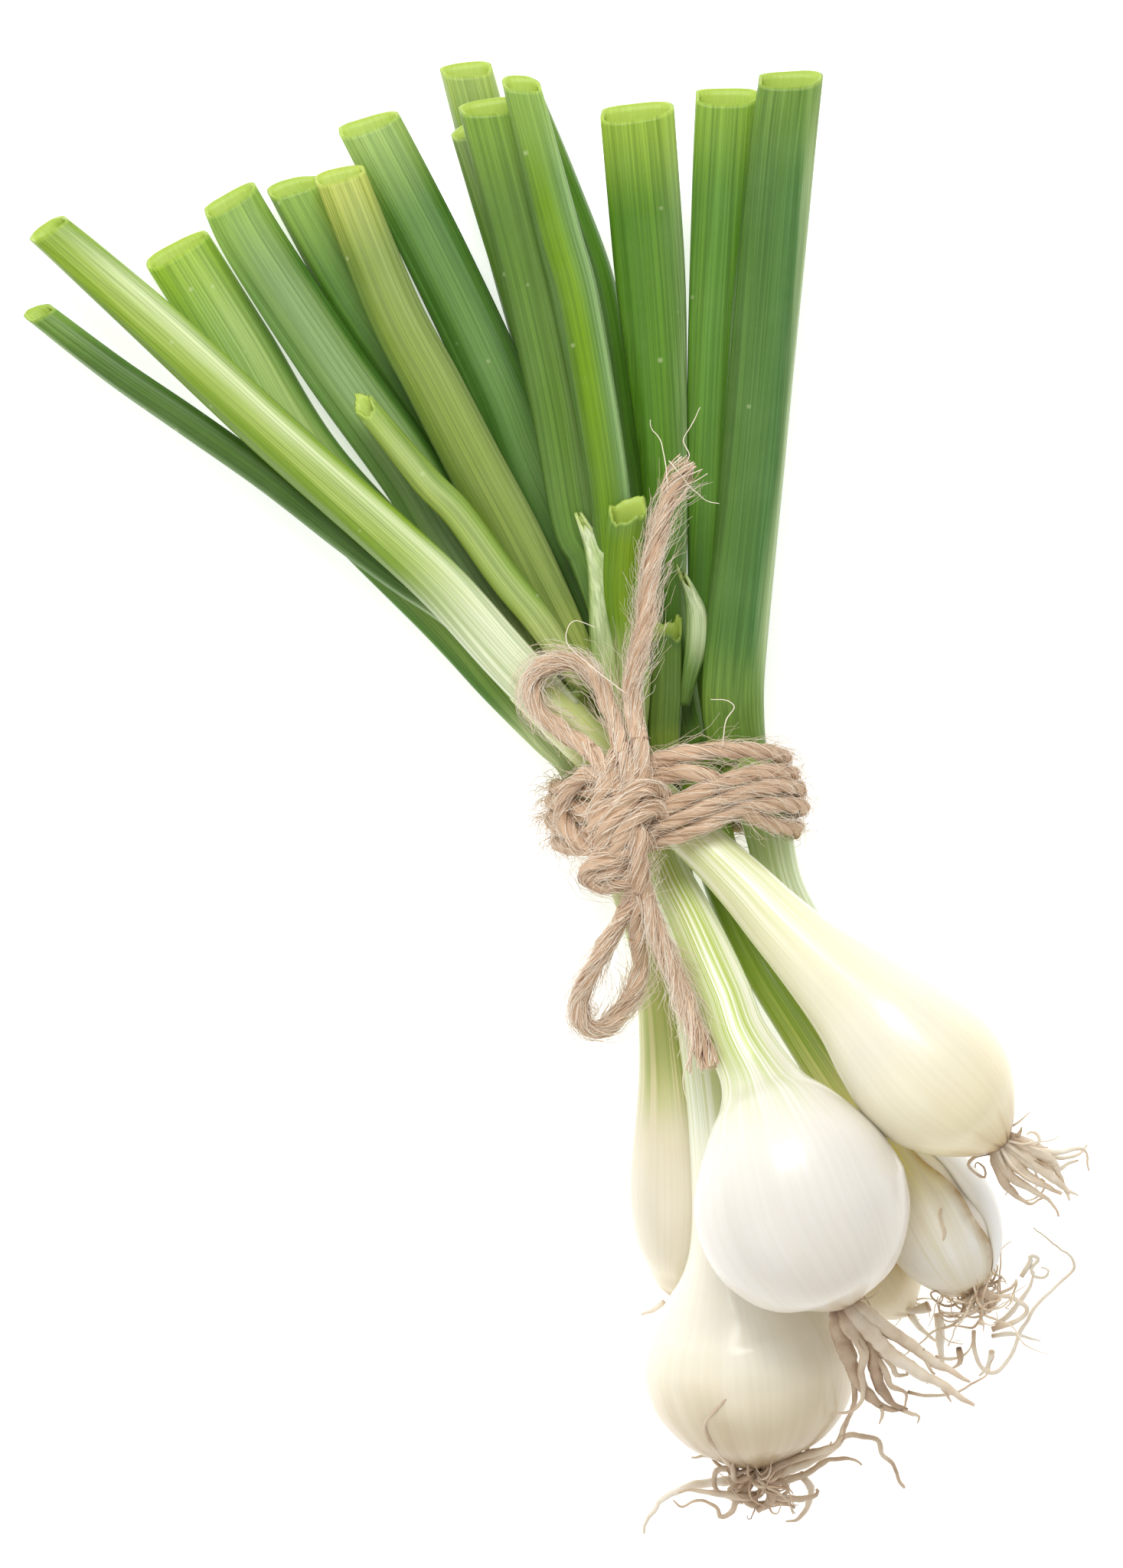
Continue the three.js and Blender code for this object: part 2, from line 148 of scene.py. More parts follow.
def mesh_object(name, points, faces, values=None, material=None, smooth=True):
    """A mesh piece from points in bunch millimetres; values are per-point attributes."""
    mesh = bpy.data.meshes.new(name)
    mesh.from_pydata(place(points).tolist(), [], faces)
    for key, data in (values or {}).items():
        data = np.asarray(data, np.float32)
        kind, field = ("FLOAT", "value") if data.ndim == 1 else ("FLOAT_VECTOR", "vector")
        mesh.attributes.new(key, kind, "POINT").data.foreach_set(field, data.ravel())
    if smooth:
        mesh.polygons.foreach_set("use_smooth", [True] * len(mesh.polygons))
    mesh.update()
    piece = bpy.data.objects.new(name, mesh)
    if material:
        mesh.materials.append(material)
    collection.objects.link(piece)
    return piece


def finish_piece(piece, nodes):
    """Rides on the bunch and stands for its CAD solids."""
    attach(piece, "root")
    if nodes:
        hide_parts(*nodes)
    return piece


def floor_material():
    # Matt white sweep paper: a soft even white with no gloss, very slightly uneven.
    material, tree, shader = new_material("white paper sweep")
    grain = add(tree, "ShaderNodeTexNoise", {"Scale": 9.0, "Detail": 2.0}).outputs["Fac"]
    tree.links.new(
        add(tree, "ShaderNodeValToRGB", {0: grain}, stops=[(0.0, "fdfdfc"), (1.0, "ffffff")]).outputs[0],
        shader.inputs["Base Color"],
    )
    shader.inputs["Roughness"].default_value = 0.9
    shader.inputs["Specular IOR Level"].default_value = 0.1
    shader.inputs["Emission Color"].default_value = (1, 1, 1, 1)
    shader.inputs["Emission Strength"].default_value = 0.5
    return material


reach = 1500
floor = mesh_object(
    "floor",
    [(-reach, -reach, 0.2), (reach, -reach, 0.2), (reach, reach, 0.2), (-reach, reach, 0.2)],
    [(0, 1, 2, 3)],
    material=floor_material(),
    smooth=False,
)


def smooth_line(points, spacing):
    """Catmull-Rom line through points, evenly spaced; extra columns such as widths follow along."""
    rows = np.array(points, float)
    fine = []
    steps = np.linspace(0, 1, 24, endpoint=False)
    for i in range(len(rows) - 1):
        p0, p1, p2, p3 = rows[max(i - 1, 0)], rows[i], rows[i + 1], rows[min(i + 2, len(rows) - 1)]
        for t in steps:
            cubic = (2 * p0 - 5 * p1 + 4 * p2 - p3) * t * t + (3 * p1 - p0 - 3 * p2 + p3) * t**3
            fine.append(0.5 * (2 * p1 + (p2 - p0) * t + cubic))
    fine = np.array(fine + [rows[-1]])
    travelled = np.concatenate([[0], np.cumsum(np.linalg.norm(np.diff(fine[:, :3], axis=0), axis=1))])
    count = max(3, int(round(travelled[-1] / spacing)) + 1)
    stations = np.linspace(0, travelled[-1], count)
    line = np.column_stack([np.interp(stations, travelled, fine[:, c]) for c in range(fine.shape[1])])
    return stations, line


def frames_along(line):
    """Tangent, level sideways (to the right) and upright directions along a line."""
    tangent = np.gradient(line[:, :3], axis=0)
    tangent /= np.linalg.norm(tangent, axis=1)[:, None]
    side = np.cross(tangent, UP)
    side /= np.linalg.norm(side, axis=1)[:, None]
    return tangent, side, np.cross(side, tangent)


def tube_faces(rings, sides, start_pole=None, end_pole=None):
    """Quads between rings, and a fan onto a pole at either end."""
    faces = []
    for r in range(rings - 1):
        for i in range(sides):
            a, b = r * sides + i, r * sides + (i + 1) % sides
            faces.append((a, a + sides, b + sides, b))
    last = (rings - 1) * sides
    for i in range(sides):
        if start_pole is not None:
            faces.append((start_pole, i, (i + 1) % sides))
        if end_pole is not None:
            faces.append((end_pole, last + (i + 1) % sides, last + i))
    return faces


def lengthwise(tree, across_mm, along_mm, detail=2.0, offset=0.0):
    """Noise drawn out along a stem or leaf: across_mm wide and along_mm long, on the grain attribute."""
    grain = add(tree, "ShaderNodeAttribute", attribute_name="grain").outputs["Vector"]
    scale = (1 / across_mm, 1 / across_mm, 1 / along_mm)
    stretched = add(tree, "ShaderNodeMapping", {
        "Vector": grain, "Location": (offset, 0, 0), "Scale": scale
    })
    inputs = {"Vector": stretched.outputs[0], "Scale": 1.0, "Detail": detail, "Roughness": 0.55}
    return add(tree, "ShaderNodeTexNoise", inputs).outputs["Fac"]


# ---------------------------------------------------------------- twine

def jute_material():
    # Jute twine: dull, dry plant fibre, straw to tan, with painted shade down in the grooves (darker ply cores)
    # and paler loose fibres.
    material, tree, shader = new_material("jute twine")
    shade = add(tree, "ShaderNodeAttribute", attribute_name="shade").outputs["Fac"]
    where = add(tree, "ShaderNodeTexCoord").outputs["Object"]
    blotch = add(tree, "ShaderNodeTexNoise", {
        "Vector": where, "Scale": 260.0, "Detail": 3.0
    }).outputs["Fac"]
    streak = add(tree, "ShaderNodeMath", {
        0: add(tree, "ShaderNodeMath", {0: blotch, 1: 0.3}, operation="MULTIPLY"),
        1: add(tree, "ShaderNodeMath", {0: shade, 1: 0.75}, operation="MULTIPLY"),
    }, operation="ADD").outputs[0]
    # The darkest stops are reached by the ply cores as painted groove shade; the rest are the fibres' own
    # straw-to-tan tones.
    stops = [(0.1, "8d6c54"), (0.32, "c6a688"), (0.55, "e4c8ab"), (0.8, "f2e2cc"), (1.0, "faf2e4")]
    tree.links.new(
        add(tree, "ShaderNodeValToRGB", {0: streak}, stops=stops).outputs[0], shader.inputs["Base Color"]
    )
    shader.inputs["Roughness"].default_value = 0.82
    shader.inputs["Specular IOR Level"].default_value = 0.25
    shader.inputs["Sheen Weight"].default_value = 0.15
    fine = add(tree, "ShaderNodeTexNoise", {
        "Vector": where, "Scale": 5200.0, "Detail": 2.0
    }).outputs["Fac"]
    tree.links.new(
        add(tree, "ShaderNodeBump", {"Height": fine, "Distance": 0.05 * MM, "Strength": 0.5}).outputs[0],
        shader.inputs["Normal"],
    )
    return material


def node_tree(name, sockets):
    """A Geometry Nodes tree with named inputs, and its input and output nodes."""
    tree = bpy.data.node_groups.new(name, "GeometryNodeTree")
    tree.interface.new_socket("Geometry", in_out="INPUT", socket_type="NodeSocketGeometry")
    tree.interface.new_socket("Geometry", in_out="OUTPUT", socket_type="NodeSocketGeometry")
    for socket, kind in sockets.items():
        tree.interface.new_socket(socket, in_out="INPUT", socket_type="NodeSocket" + kind)
    return tree, tree.nodes.new("NodeGroupInput").outputs, tree.nodes.new("NodeGroupOutput")


def circle_round(tree, angle, radius):
    """Offset of a point at an angle round its curve, from the curve's own normal."""
    normal = tree.nodes.new("GeometryNodeInputNormal").outputs[0]
    tangent = tree.nodes.new("GeometryNodeInputTangent").outputs[0]
    second = add(tree, "ShaderNodeVectorMath", {
        0: tangent, 1: normal
    }, operation="CROSS_PRODUCT").outputs[0]
    first = add(tree, "ShaderNodeVectorMath", {
        0: normal, "Scale": add(tree, "ShaderNodeMath", {0: angle}, operation="COSINE")
    }, operation="SCALE").outputs[0]
    second = add(tree, "ShaderNodeVectorMath", {
        0: second, "Scale": add(tree, "ShaderNodeMath", {0: angle}, operation="SINE")
    }, operation="SCALE").outputs[0]
    return add(tree, "ShaderNodeVectorMath", {
        0: add(tree, "ShaderNodeVectorMath", {0: first, 1: second}, operation="ADD"), "Scale": radius
    }, operation="SCALE").outputs[0]


def strands_to_mesh(tree, curves, radius, sides, shade):
    """Gives curves a round thickness and a shade, as a smooth mesh."""
    inputs = {"Geometry": curves, "Name": "shade", "Value": shade}
    shaded = add(tree, "GeometryNodeStoreNamedAttribute", inputs, data_type="FLOAT", domain="POINT")
    circle = add(tree, "GeometryNodeCurvePrimitiveCircle", {"Resolution": sides, "Radius": 1.0})
    inputs = {"Curve": shaded.outputs[0], "Profile Curve": circle.outputs[0],
              "Scale": radius, "Fill Caps": True}
    mesh = add(tree, "GeometryNodeCurveToMesh", inputs).outputs[0]
    return add(tree, "GeometryNodeSetShadeSmooth", {0: mesh, "Shade Smooth": True}).outputs[0]


def close_tree(tree, geometry, material, out):
    """Ends a tree in Realize Instances and Set Material."""
    real = add(tree, "GeometryNodeRealizeInstances", {"Geometry": geometry}).outputs[0]
    painted = add(tree, "GeometryNodeSetMaterial", {"Geometry": real, "Material": material}).outputs[0]
    tree.links.new(painted, out.inputs[0])


def plied_twine_tree():
    """Plies wound round a guide line, with surface fibres that follow them and splay at frayed ends."""
    sockets = {
        "Radius": "Float",
        "Lay length": "Float",
        "Plies": "Int",
        "Fibres": "Int",
        "Seed": "Int",
        "Material": "Material",
    }
    tree, given, out = node_tree("plied jute twine", sockets)
    curve = add(tree, "GeometryNodeMeshToCurve", {"Mesh": given["Geometry"]}).outputs[0]
    named = "GeometryNodeInputNamedAttribute"
    girth = add(tree, named, {"Name": "girth"}, data_type="FLOAT").outputs[0]
    loose = add(tree, named, {"Name": "loose"}, data_type="FLOAT").outputs[0]
    radius = add(tree, "ShaderNodeMath", {0: given["Radius"], 1: girth}, operation="MULTIPLY").outputs[0]
    length = tree.nodes.new("GeometryNodeSplineParameter").outputs["Length"]
    wound = add(tree, "ShaderNodeMath", {
        0: add(tree, "ShaderNodeMath", {0: length, 1: given["Lay length"]}, operation="DIVIDE"),
        1: 2 * math.pi,
    }, operation="MULTIPLY").outputs[0]
    third = add(tree, "ShaderNodeMath", {
        0: 2 * math.pi, 1: given["Plies"]
    }, operation="DIVIDE").outputs[0]

    plies = add(tree, "GeometryNodeDuplicateElements", {
        "Geometry": curve, "Amount": given["Plies"]
    }, domain="SPLINE")
    angle = add(tree, "ShaderNodeMath", {
        0: wound, 1: add(tree, "ShaderNodeMath", {0: plies.outputs[1], 1: third}, operation="MULTIPLY")
    }, operation="ADD").outputs[0]
    offset = circle_round(
        tree, angle, add(tree, "ShaderNodeMath", {0: radius, 1: 0.46}, operation="MULTIPLY").outputs[0]
    )
    wound_plies = add(tree, "GeometryNodeSetPosition", {
        "Geometry": plies.outputs[0], "Offset": offset
    }).outputs[0]
    thinning = add(tree, "ShaderNodeMath", {
        0: 1.0, 1: add(tree, "ShaderNodeMath", {0: loose, 1: 0.75}, operation="MULTIPLY")
    }, operation="SUBTRACT").outputs[0]
    core = add(tree, "ShaderNodeMath", {
        0: add(tree, "ShaderNodeMath", {0: radius, 1: 0.56}, operation="MULTIPLY"), 1: thinning
    }, operation="MULTIPLY").outputs[0]
    # The ply cores carry the low shade value 0.3, a darker tan: painted shade down in the grooves between the
    # fibres.
    plies_mesh = strands_to_mesh(tree, wound_plies, core, 9, 0.3)

    fibres = add(tree, "GeometryNodeDuplicateElements", {
        "Geometry": curve, "Amount": given["Fibres"]
    }, domain="SPLINE")
    number = fibres.outputs[1]
    ply = add(tree, "ShaderNodeMath", {0: number, 1: given["Plies"]}, operation="MODULO").outputs[0]
    ply_angle = add(tree, "ShaderNodeMath", {
        0: wound, 1: add(tree, "ShaderNodeMath", {0: ply, 1: third}, operation="MULTIPLY")
    }, operation="ADD").outputs[0]
    start_angle = add(tree, "FunctionNodeRandomValue", {
        2: 0.0, 3: 2 * math.pi, 7: number, 8: given["Seed"]
    }, data_type="FLOAT").outputs[1]
    turn_rate = add(tree, "FunctionNodeRandomValue", {
        2: 0.5,
        3: 1.5,
        7: number,
        8: add(tree, "ShaderNodeMath", {0: given["Seed"], 1: 5}, operation="ADD"),
    }, data_type="FLOAT").outputs[1]
    own_angle = add(tree, "ShaderNodeMath", {
        0: start_angle, 1: add(tree, "ShaderNodeMath", {0: wound, 1: turn_rate}, operation="MULTIPLY")
    }, operation="ADD").outputs[0]
    position = tree.nodes.new("GeometryNodeInputPosition").outputs[0]
    shifted = add(tree, "ShaderNodeVectorMath", {
        0: position,
        1: add(tree, "ShaderNodeVectorMath", {
            0: (0.013, 0.007, 0.011), "Scale": number
        }, operation="SCALE"),
    }, operation="ADD").outputs[0]
    wander = add(tree, "ShaderNodeTexNoise", {
        "Vector": shifted, "Scale": 190.0, "Detail": 1.0
    }).outputs["Color"]
    wander = add(tree, "ShaderNodeVectorMath", {
        0: wander, 1: (0.5, 0.5, 0.5)
    }, operation="SUBTRACT").outputs[0]
    splay = add(tree, "ShaderNodeMath", {
        0: 1.0, 1: add(tree, "ShaderNodeMath", {0: loose, 1: 1.1}, operation="MULTIPLY")
    }, operation="ADD").outputs[0]
    ply_centre = circle_round(
        tree,
        ply_angle,
        add(tree, "ShaderNodeMath", {
            0: radius, 1: add(tree, "ShaderNodeMath", {0: splay, 1: 0.46}, operation="MULTIPLY")
        }, operation="MULTIPLY").outputs[0],
    )
    on_ply = circle_round(
        tree,
        own_angle,
        add(tree, "ShaderNodeMath", {
            0: radius, 1: add(tree, "ShaderNodeMath", {0: splay, 1: 0.53}, operation="MULTIPLY")
        }, operation="MULTIPLY").outputs[0],
    )
    drift = add(tree, "ShaderNodeVectorMath", {
        0: wander,
        "Scale": add(tree, "ShaderNodeMath", {
            0: radius, 1: add(tree, "ShaderNodeMath", {0: splay, 1: 0.8}, operation="MULTIPLY")
        }, operation="MULTIPLY"),
    }, operation="SCALE").outputs[0]
    offset = add(tree, "ShaderNodeVectorMath", {
        0: add(tree, "ShaderNodeVectorMath", {0: ply_centre, 1: on_ply}, operation="ADD"), 1: drift
    }, operation="ADD").outputs[0]
    laid = add(tree, "GeometryNodeSetPosition", {
        "Geometry": fibres.outputs[0], "Offset": offset
    }).outputs[0]
    thickness = add(tree, "FunctionNodeRandomValue", {
        2: 0.00007,
        3: 0.00016,
        7: number,
        8: add(tree, "ShaderNodeMath", {0: given["Seed"], 1: 9}, operation="ADD"),
    }, data_type="FLOAT").outputs[1]
    tone = add(tree, "FunctionNodeRandomValue", {
        2: 0.3,
        3: 1.0,
        7: number,
        8: add(tree, "ShaderNodeMath", {0: given["Seed"], 1: 2}, operation="ADD"),
    }, data_type="FLOAT").outputs[1]
    fibre_mesh = strands_to_mesh(tree, laid, thickness, 3, tone)

    joined = add(tree, "GeometryNodeJoinGeometry")
    tree.links.new(plies_mesh, joined.inputs[0])
    tree.links.new(fibre_mesh, joined.inputs[0])
    close_tree(tree, joined.outputs[0], given["Material"], out)
    return tree


def loose_fibre_tree():
    """Short fibres that leave a guide line here and there, lift and curl."""
    sockets = {
        "Radius": "Float",
        "Amount": "Int",
        "Share": "Float",
        "Lift": "Float",
        "Curl": "Float",
        "Fibre radius": "Float",
        "Seed": "Int",
        "Material": "Material",
    }
    tree, given, out = node_tree("loose fibres", sockets)
    curve = add(tree, "GeometryNodeMeshToCurve", {"Mesh": given["Geometry"]}).outputs[0]
    many = add(tree, "GeometryNodeDuplicateElements", {
        "Geometry": curve, "Amount": given["Amount"]
    }, domain="SPLINE")
    number, seed = many.outputs[1], given["Seed"]
    share = add(tree, "ShaderNodeMath", {
        0: given["Share"],
        1: add(tree, "FunctionNodeRandomValue", {
            2: 0.4, 3: 1.3, 7: number, 8: seed
        }, data_type="FLOAT").outputs[1],
    }, operation="MULTIPLY").outputs[0]
    room = add(tree, "ShaderNodeMath", {0: 1.0, 1: share}, operation="SUBTRACT").outputs[0]
    start = add(tree, "ShaderNodeMath", {
        0: room,
        1: add(tree, "FunctionNodeRandomValue", {
            2: 0.0, 3: 1.0, 7: number, 8: add(tree, "ShaderNodeMath", {0: seed, 1: 1}, operation="ADD")
        }, data_type="FLOAT").outputs[1],
    }, operation="MULTIPLY").outputs[0]
    end = add(tree, "ShaderNodeMath", {0: start, 1: share}, operation="ADD").outputs[0]
    cut = add(tree, "GeometryNodeTrimCurve", {
        "Curve": many.outputs[0], 2: start, 3: end
    }, mode="FACTOR").outputs[0]
    even = add(tree, "GeometryNodeResampleCurve", {"Curve": cut, "Count": 9}, mode="COUNT").outputs[0]
    along = tree.nodes.new("GeometryNodeSplineParameter").outputs["Factor"]
    facing = add(tree, "FunctionNodeRandomValue", {
        2: 0.0,
        3: 2 * math.pi,
        7: number,
        8: add(tree, "ShaderNodeMath", {0: seed, 1: 2}, operation="ADD"),
    }, data_type="FLOAT").outputs[1]
    lift = add(tree, "ShaderNodeMath", {
        0: given["Lift"],
        1: add(tree, "FunctionNodeRandomValue", {
            2: 0.1, 3: 1.0, 7: number, 8: add(tree, "ShaderNodeMath", {0: seed, 1: 3}, operation="ADD")
        }, data_type="FLOAT").outputs[1],
    }, operation="MULTIPLY").outputs[0]
    height = add(tree, "ShaderNodeMath", {
        0: given["Radius"],
        1: add(tree, "ShaderNodeMath", {
            0: lift, 1: add(tree, "ShaderNodeMath", {0: along, 1: 1.6}, operation="POWER")
        }, operation="MULTIPLY"),
    }, operation="ADD").outputs[0]
    girth = add(tree, "GeometryNodeInputNamedAttribute", {"Name": "girth"}, data_type="FLOAT").outputs[0]
    height = add(tree, "ShaderNodeMath", {0: height, 1: girth}, operation="MULTIPLY").outputs[0]
    swing = add(tree, "ShaderNodeMath", {
        0: facing, 1: add(tree, "ShaderNodeMath", {0: along, 1: 1.3}, operation="MULTIPLY")
    }, operation="ADD").outputs[0]
    position = tree.nodes.new("GeometryNodeInputPosition").outputs[0]
    shifted = add(tree, "ShaderNodeVectorMath", {
        0: position,
        1: add(tree, "ShaderNodeVectorMath", {
            0: (0.021, 0.013, 0.017), "Scale": number
        }, operation="SCALE"),
    }, operation="ADD").outputs[0]
    wander = add(tree, "ShaderNodeTexNoise", {
        "Vector": shifted, "Scale": 230.0, "Detail": 1.0
    }).outputs["Color"]
    wander = add(tree, "ShaderNodeVectorMath", {
        0: wander, 1: (0.5, 0.5, 0.5)
    }, operation="SUBTRACT").outputs[0]
    drift = add(tree, "ShaderNodeVectorMath", {
        0: wander,
        "Scale": add(tree, "ShaderNodeMath", {0: given["Curl"], 1: along}, operation="MULTIPLY"),
    }, operation="SCALE").outputs[0]
    offset = add(tree, "ShaderNodeVectorMath", {
        0: circle_round(tree, swing, height), 1: drift
    }, operation="ADD").outputs[0]
    flown = add(tree, "GeometryNodeSetPosition", {"Geometry": even, "Offset": offset}).outputs[0]
    taper = add(tree, "ShaderNodeMath", {
        0: 1.0, 1: add(tree, "ShaderNodeMath", {0: along, 1: 0.6}, operation="MULTIPLY")
    }, operation="SUBTRACT").outputs[0]
    thickness = add(tree, "ShaderNodeMath", {
        0: given["Fibre radius"], 1: taper
    }, operation="MULTIPLY").outputs[0]
    tone = add(tree, "FunctionNodeRandomValue", {
        2: 0.6, 3: 1.1, 7: number, 8: add(tree, "ShaderNodeMath", {0: seed, 1: 4}, operation="ADD")
    }, data_type="FLOAT").outputs[1]
    bare = add(tree, "ShaderNodeSeparateXYZ", {
        "Vector": tree.nodes.new("GeometryNodeInputPosition").outputs[0]
    })
    above = add(tree, "ShaderNodeMath", {0: bare.outputs[2], 1: FIBRE_FLOOR * MM}, operation="MAXIMUM").outputs[0]
    settled = add(tree, "ShaderNodeCombineXYZ", {
        "X": bare.outputs[0], "Y": bare.outputs[1], "Z": above
    }).outputs[0]
    flown = add(tree, "GeometryNodeSetPosition", {"Geometry": flown, "Position": settled}).outputs[0]
    close_tree(tree, strands_to_mesh(tree, flown, thickness, 3, tone), given["Material"], out)
    return tree


def guide_object(name, lines):
    """A wire mesh of guide lines; a line is rows of [x, y, z, girth, looseness]."""
    mesh = bpy.data.meshes.new(name)
    points, edges, girth, loose = [], [], [], []
    for line in lines:
        first = len(points)
        points += place(line).tolist()
        edges += [(first + i, first + i + 1) for i in range(len(line) - 1)]
        girth += line[:, 3].tolist()
        loose += (line[:, 4].tolist() if line.shape[1] > 4 else [0.0] * len(line))
    mesh.from_pydata(points, edges, [])
    mesh.attributes.new("girth", "FLOAT", "POINT").data.foreach_set("value", girth)
    mesh.attributes.new("loose", "FLOAT", "POINT").data.foreach_set("value", loose)
    piece = bpy.data.objects.new(name, mesh)
    collection.objects.link(piece)
    return piece


def grow(name, lines, tree, sizes):
    """Runs a tree on guide lines and keeps the result as a plain mesh piece."""
    piece = guide_object(name, lines)
    modifier = piece.modifiers.new("grow", "NODES")
    modifier.node_group = tree
    for item in tree.interface.items_tree:
        if item.in_out == "INPUT" and item.name in sizes:
            modifier[item.identifier] = sizes[item.name]
    graph = bpy.context.evaluated_depsgraph_get()
    grown = bpy.data.meshes.new_from_object(
        piece.evaluated_get(graph), preserve_all_data_layers=True, depsgraph=graph
    )
    piece.modifiers.clear()
    piece.data = grown
    return piece


jute = jute_material()
twine_tree = plied_twine_tree()
fibre_tree = loose_fibre_tree()
TWINE = {"Radius": TWINE_RADIUS * MM, "Lay length": 0.017, "Plies": 3, "Fibres": 36, "Material": jute}
FUZZ = {"Radius": TWINE_RADIUS * MM, "Curl": 0.005, "Fibre radius": 0.00006, "Material": jute}

# The four free pieces of twine, from the knot outwards: the routes of the CAD solids, which leave and
# rejoin the knot. Each row is [x, y, z].
bow_routes = {
    "twine_upper_loop": [
        [-6.6, 10.2, 36], [-6.2, 16, 33], [-6.4, 22, 30.4], [-8, 26, 29.2], [-11.5, 28, 28.6],
        [-15, 27.6, 28.2], [-17.2, 25.4, 28], [-17, 21.2, 28.2], [-14.4, 17, 29.4], [-11.5, 12.5, 32.4],
    ],
    "twine_upper_tail": [
        [-3.6, 11.6, 36.4], [-1.8, 19.5, 34], [3.6, 28.5, 33.4], [8.2, 37.5, 33.4], [14, 46, 32],
        [19.5, 50.5, 31],
    ],
    "twine_lower_loop": [
        [-14.8, -13.6, 31], [-20, -18, 28.6], [-24, -21.5, 26.8], [-27, -25, 25.4], [-27.6, -29, 24.6],
        [-25, -30.6, 24.2], [-22, -29.4, 24.2], [-18.5, -27, 24.8], [-16, -23.5, 26], [-14.6, -18.6, 29],
    ],
    "twine_lower_tail": [
        [-11, -12, 33.8], [-11.4, -19, 33.4], [-11, -27, 34.6], [-11, -34.5, 36.4], [-11.4, -41.5, 38],
    ],
}

for seed, (name, route) in enumerate(bow_routes.items()):
    stations, line = smooth_line(route, 0.8)
    tail = name.endswith("tail")
    share = stations / stations[-1]
    loose = np.clip((share - 0.72) / 0.28, 0, 1) ** 2 if tail else 0 * share
    girth = np.full(len(line), 1.0) * (1.06 + 0.06 * np.sin(stations * 0.9 + seed))
    guide = np.column_stack([line, girth, loose])
    lay = 0.03 if name == "twine_lower_tail" else 0.02
    piece = grow(name + "_plies", [guide], twine_tree, {
        **TWINE, "Lay length": lay, "Seed": 11 + seed, "Fibres": 48
    })
    fuzz = grow(name + "_fuzz", [guide], fibre_tree,
                {**FUZZ, "Amount": 260, "Share": 0.3, "Lift": 0.0032, "Seed": 31 + seed})
    finish_piece(piece, [name])
    finish_piece(fuzz, [])
    path = place(line)
    length = float(np.linalg.norm(np.diff(path, axis=0), axis=1).sum())

# The turns round the six necks, one row of [across, along, height] for each turn: over the top from
# the knot, down the right side, under the bunch and up the left side.
turn_routes = [
    [
        (-12.5, 1.5, 31.5), (-7.5, 4.8, 33.8), (-2.9, 6.7, 33.2), (3.5, 7.8, 32.8), (9, 7.9, 31),
        (13.4, 7.6, 27.5), (16.2, 7, 22), (16.6, 6.4, 16), (13.6, 5.6, 8), (7.5, 4.6, 3), (-3, 3.4, 2.6),
        (-16, 2.4, 3), (-20.4, 2, 9), (-20, 2, 17), (-16.8, 1.8, 26.2), (-12.5, 1.5, 31.5),
    ],
    [
        (-12, -1, 32), (-8.5, 1.5, 33.5), (-3.5, 3.9, 34.2), (1, 4.3, 34), (4.6, 3.4, 33.2),
        (7.6, 0.6, 31.6), (10.6, -2.4, 30.4), (14.6, -4.2, 26.8), (18, -4.8, 20), (18.4, -5, 14),
        (14, -4.6, 7.6), (7.5, -4, 2.8), (-3, -3, 2.5), (-16.4, -3, 2.8), (-20.6, -3, 8.5),
        (-20.2, -3, 17), (-16.6, -2.2, 26.2), (-12, -1, 32),
    ],
    [
        (-11, -4, 32.6), (-5.5, -2.4, 34), (0.8, 0.5, 34), (8, 3.4, 32.4), (13, 4.4, 29),
        (16.8, 4.2, 23.4), (17.9, 3.8, 16.5), (14, 3, 8), (7.5, 2.2, 2.9), (-3, 1.2, 2.5), (-16, 0, 2.8),
        (-20.7, -0.4, 8.5), (-20.4, -0.4, 17), (-16.9, -1, 26), (-11, -4, 32.6),
    ],
    [
        (-11, -6, 32), (-5.4, -4.8, 33.6), (3, -1.4, 33.6), (10.4, 1.4, 31.4), (15.6, 2.2, 26.8),
        (18.6, 1.6, 19.6), (18.4, 0.8, 13.6), (13.4, 0.2, 7), (6, -0.6, 2.6), (-5, -1.4, 2.4),
        (-16.8, -2.8, 3), (-20.9, -3.4, 9), (-20.2, -4.4, 17), (-16.4, -5.4, 25.6), (-11, -6, 32),
    ],
    [
        (-11, -8, 31), (-4.8, -7, 32.6), (3, -4.2, 32.6), (8.4, -1.6, 31.8), (14, -0.8, 28.4),
        (18.4, -1, 22), (19.4, -1.6, 15.6), (15, -2, 8.4), (7.5, -2.4, 2.9), (-3, -3.6, 2.5),
        (-15.6, -6.2, 3), (-20, -7, 9), (-19.4, -7.6, 17), (-16, -8, 25), (-11, -8, 31),
    ],
]
turn_lines = []
for number, route in enumerate(turn_routes):
    line = smooth_line([tie_point(*p) for p in route], 0.9)[1]
    line[:, 3] = 0.96 + 0.05 * np.sin(np.arange(len(line)) * 0.11 + number)
    turn_lines.append(line)
turns = grow("twine_turns_plies", turn_lines, twine_tree, {**TWINE, "Seed": 3, "Fibres": 26})
finish_piece(turns, ["twine_turns"])
turns_fuzz = grow("twine_turns_fuzz", turn_lines, fibre_tree,
                  {**FUZZ, "Amount": 300, "Share": 0.1, "Lift": 0.0036, "Curl": 0.007, "Seed": 51})
finish_piece(turns_fuzz, [])

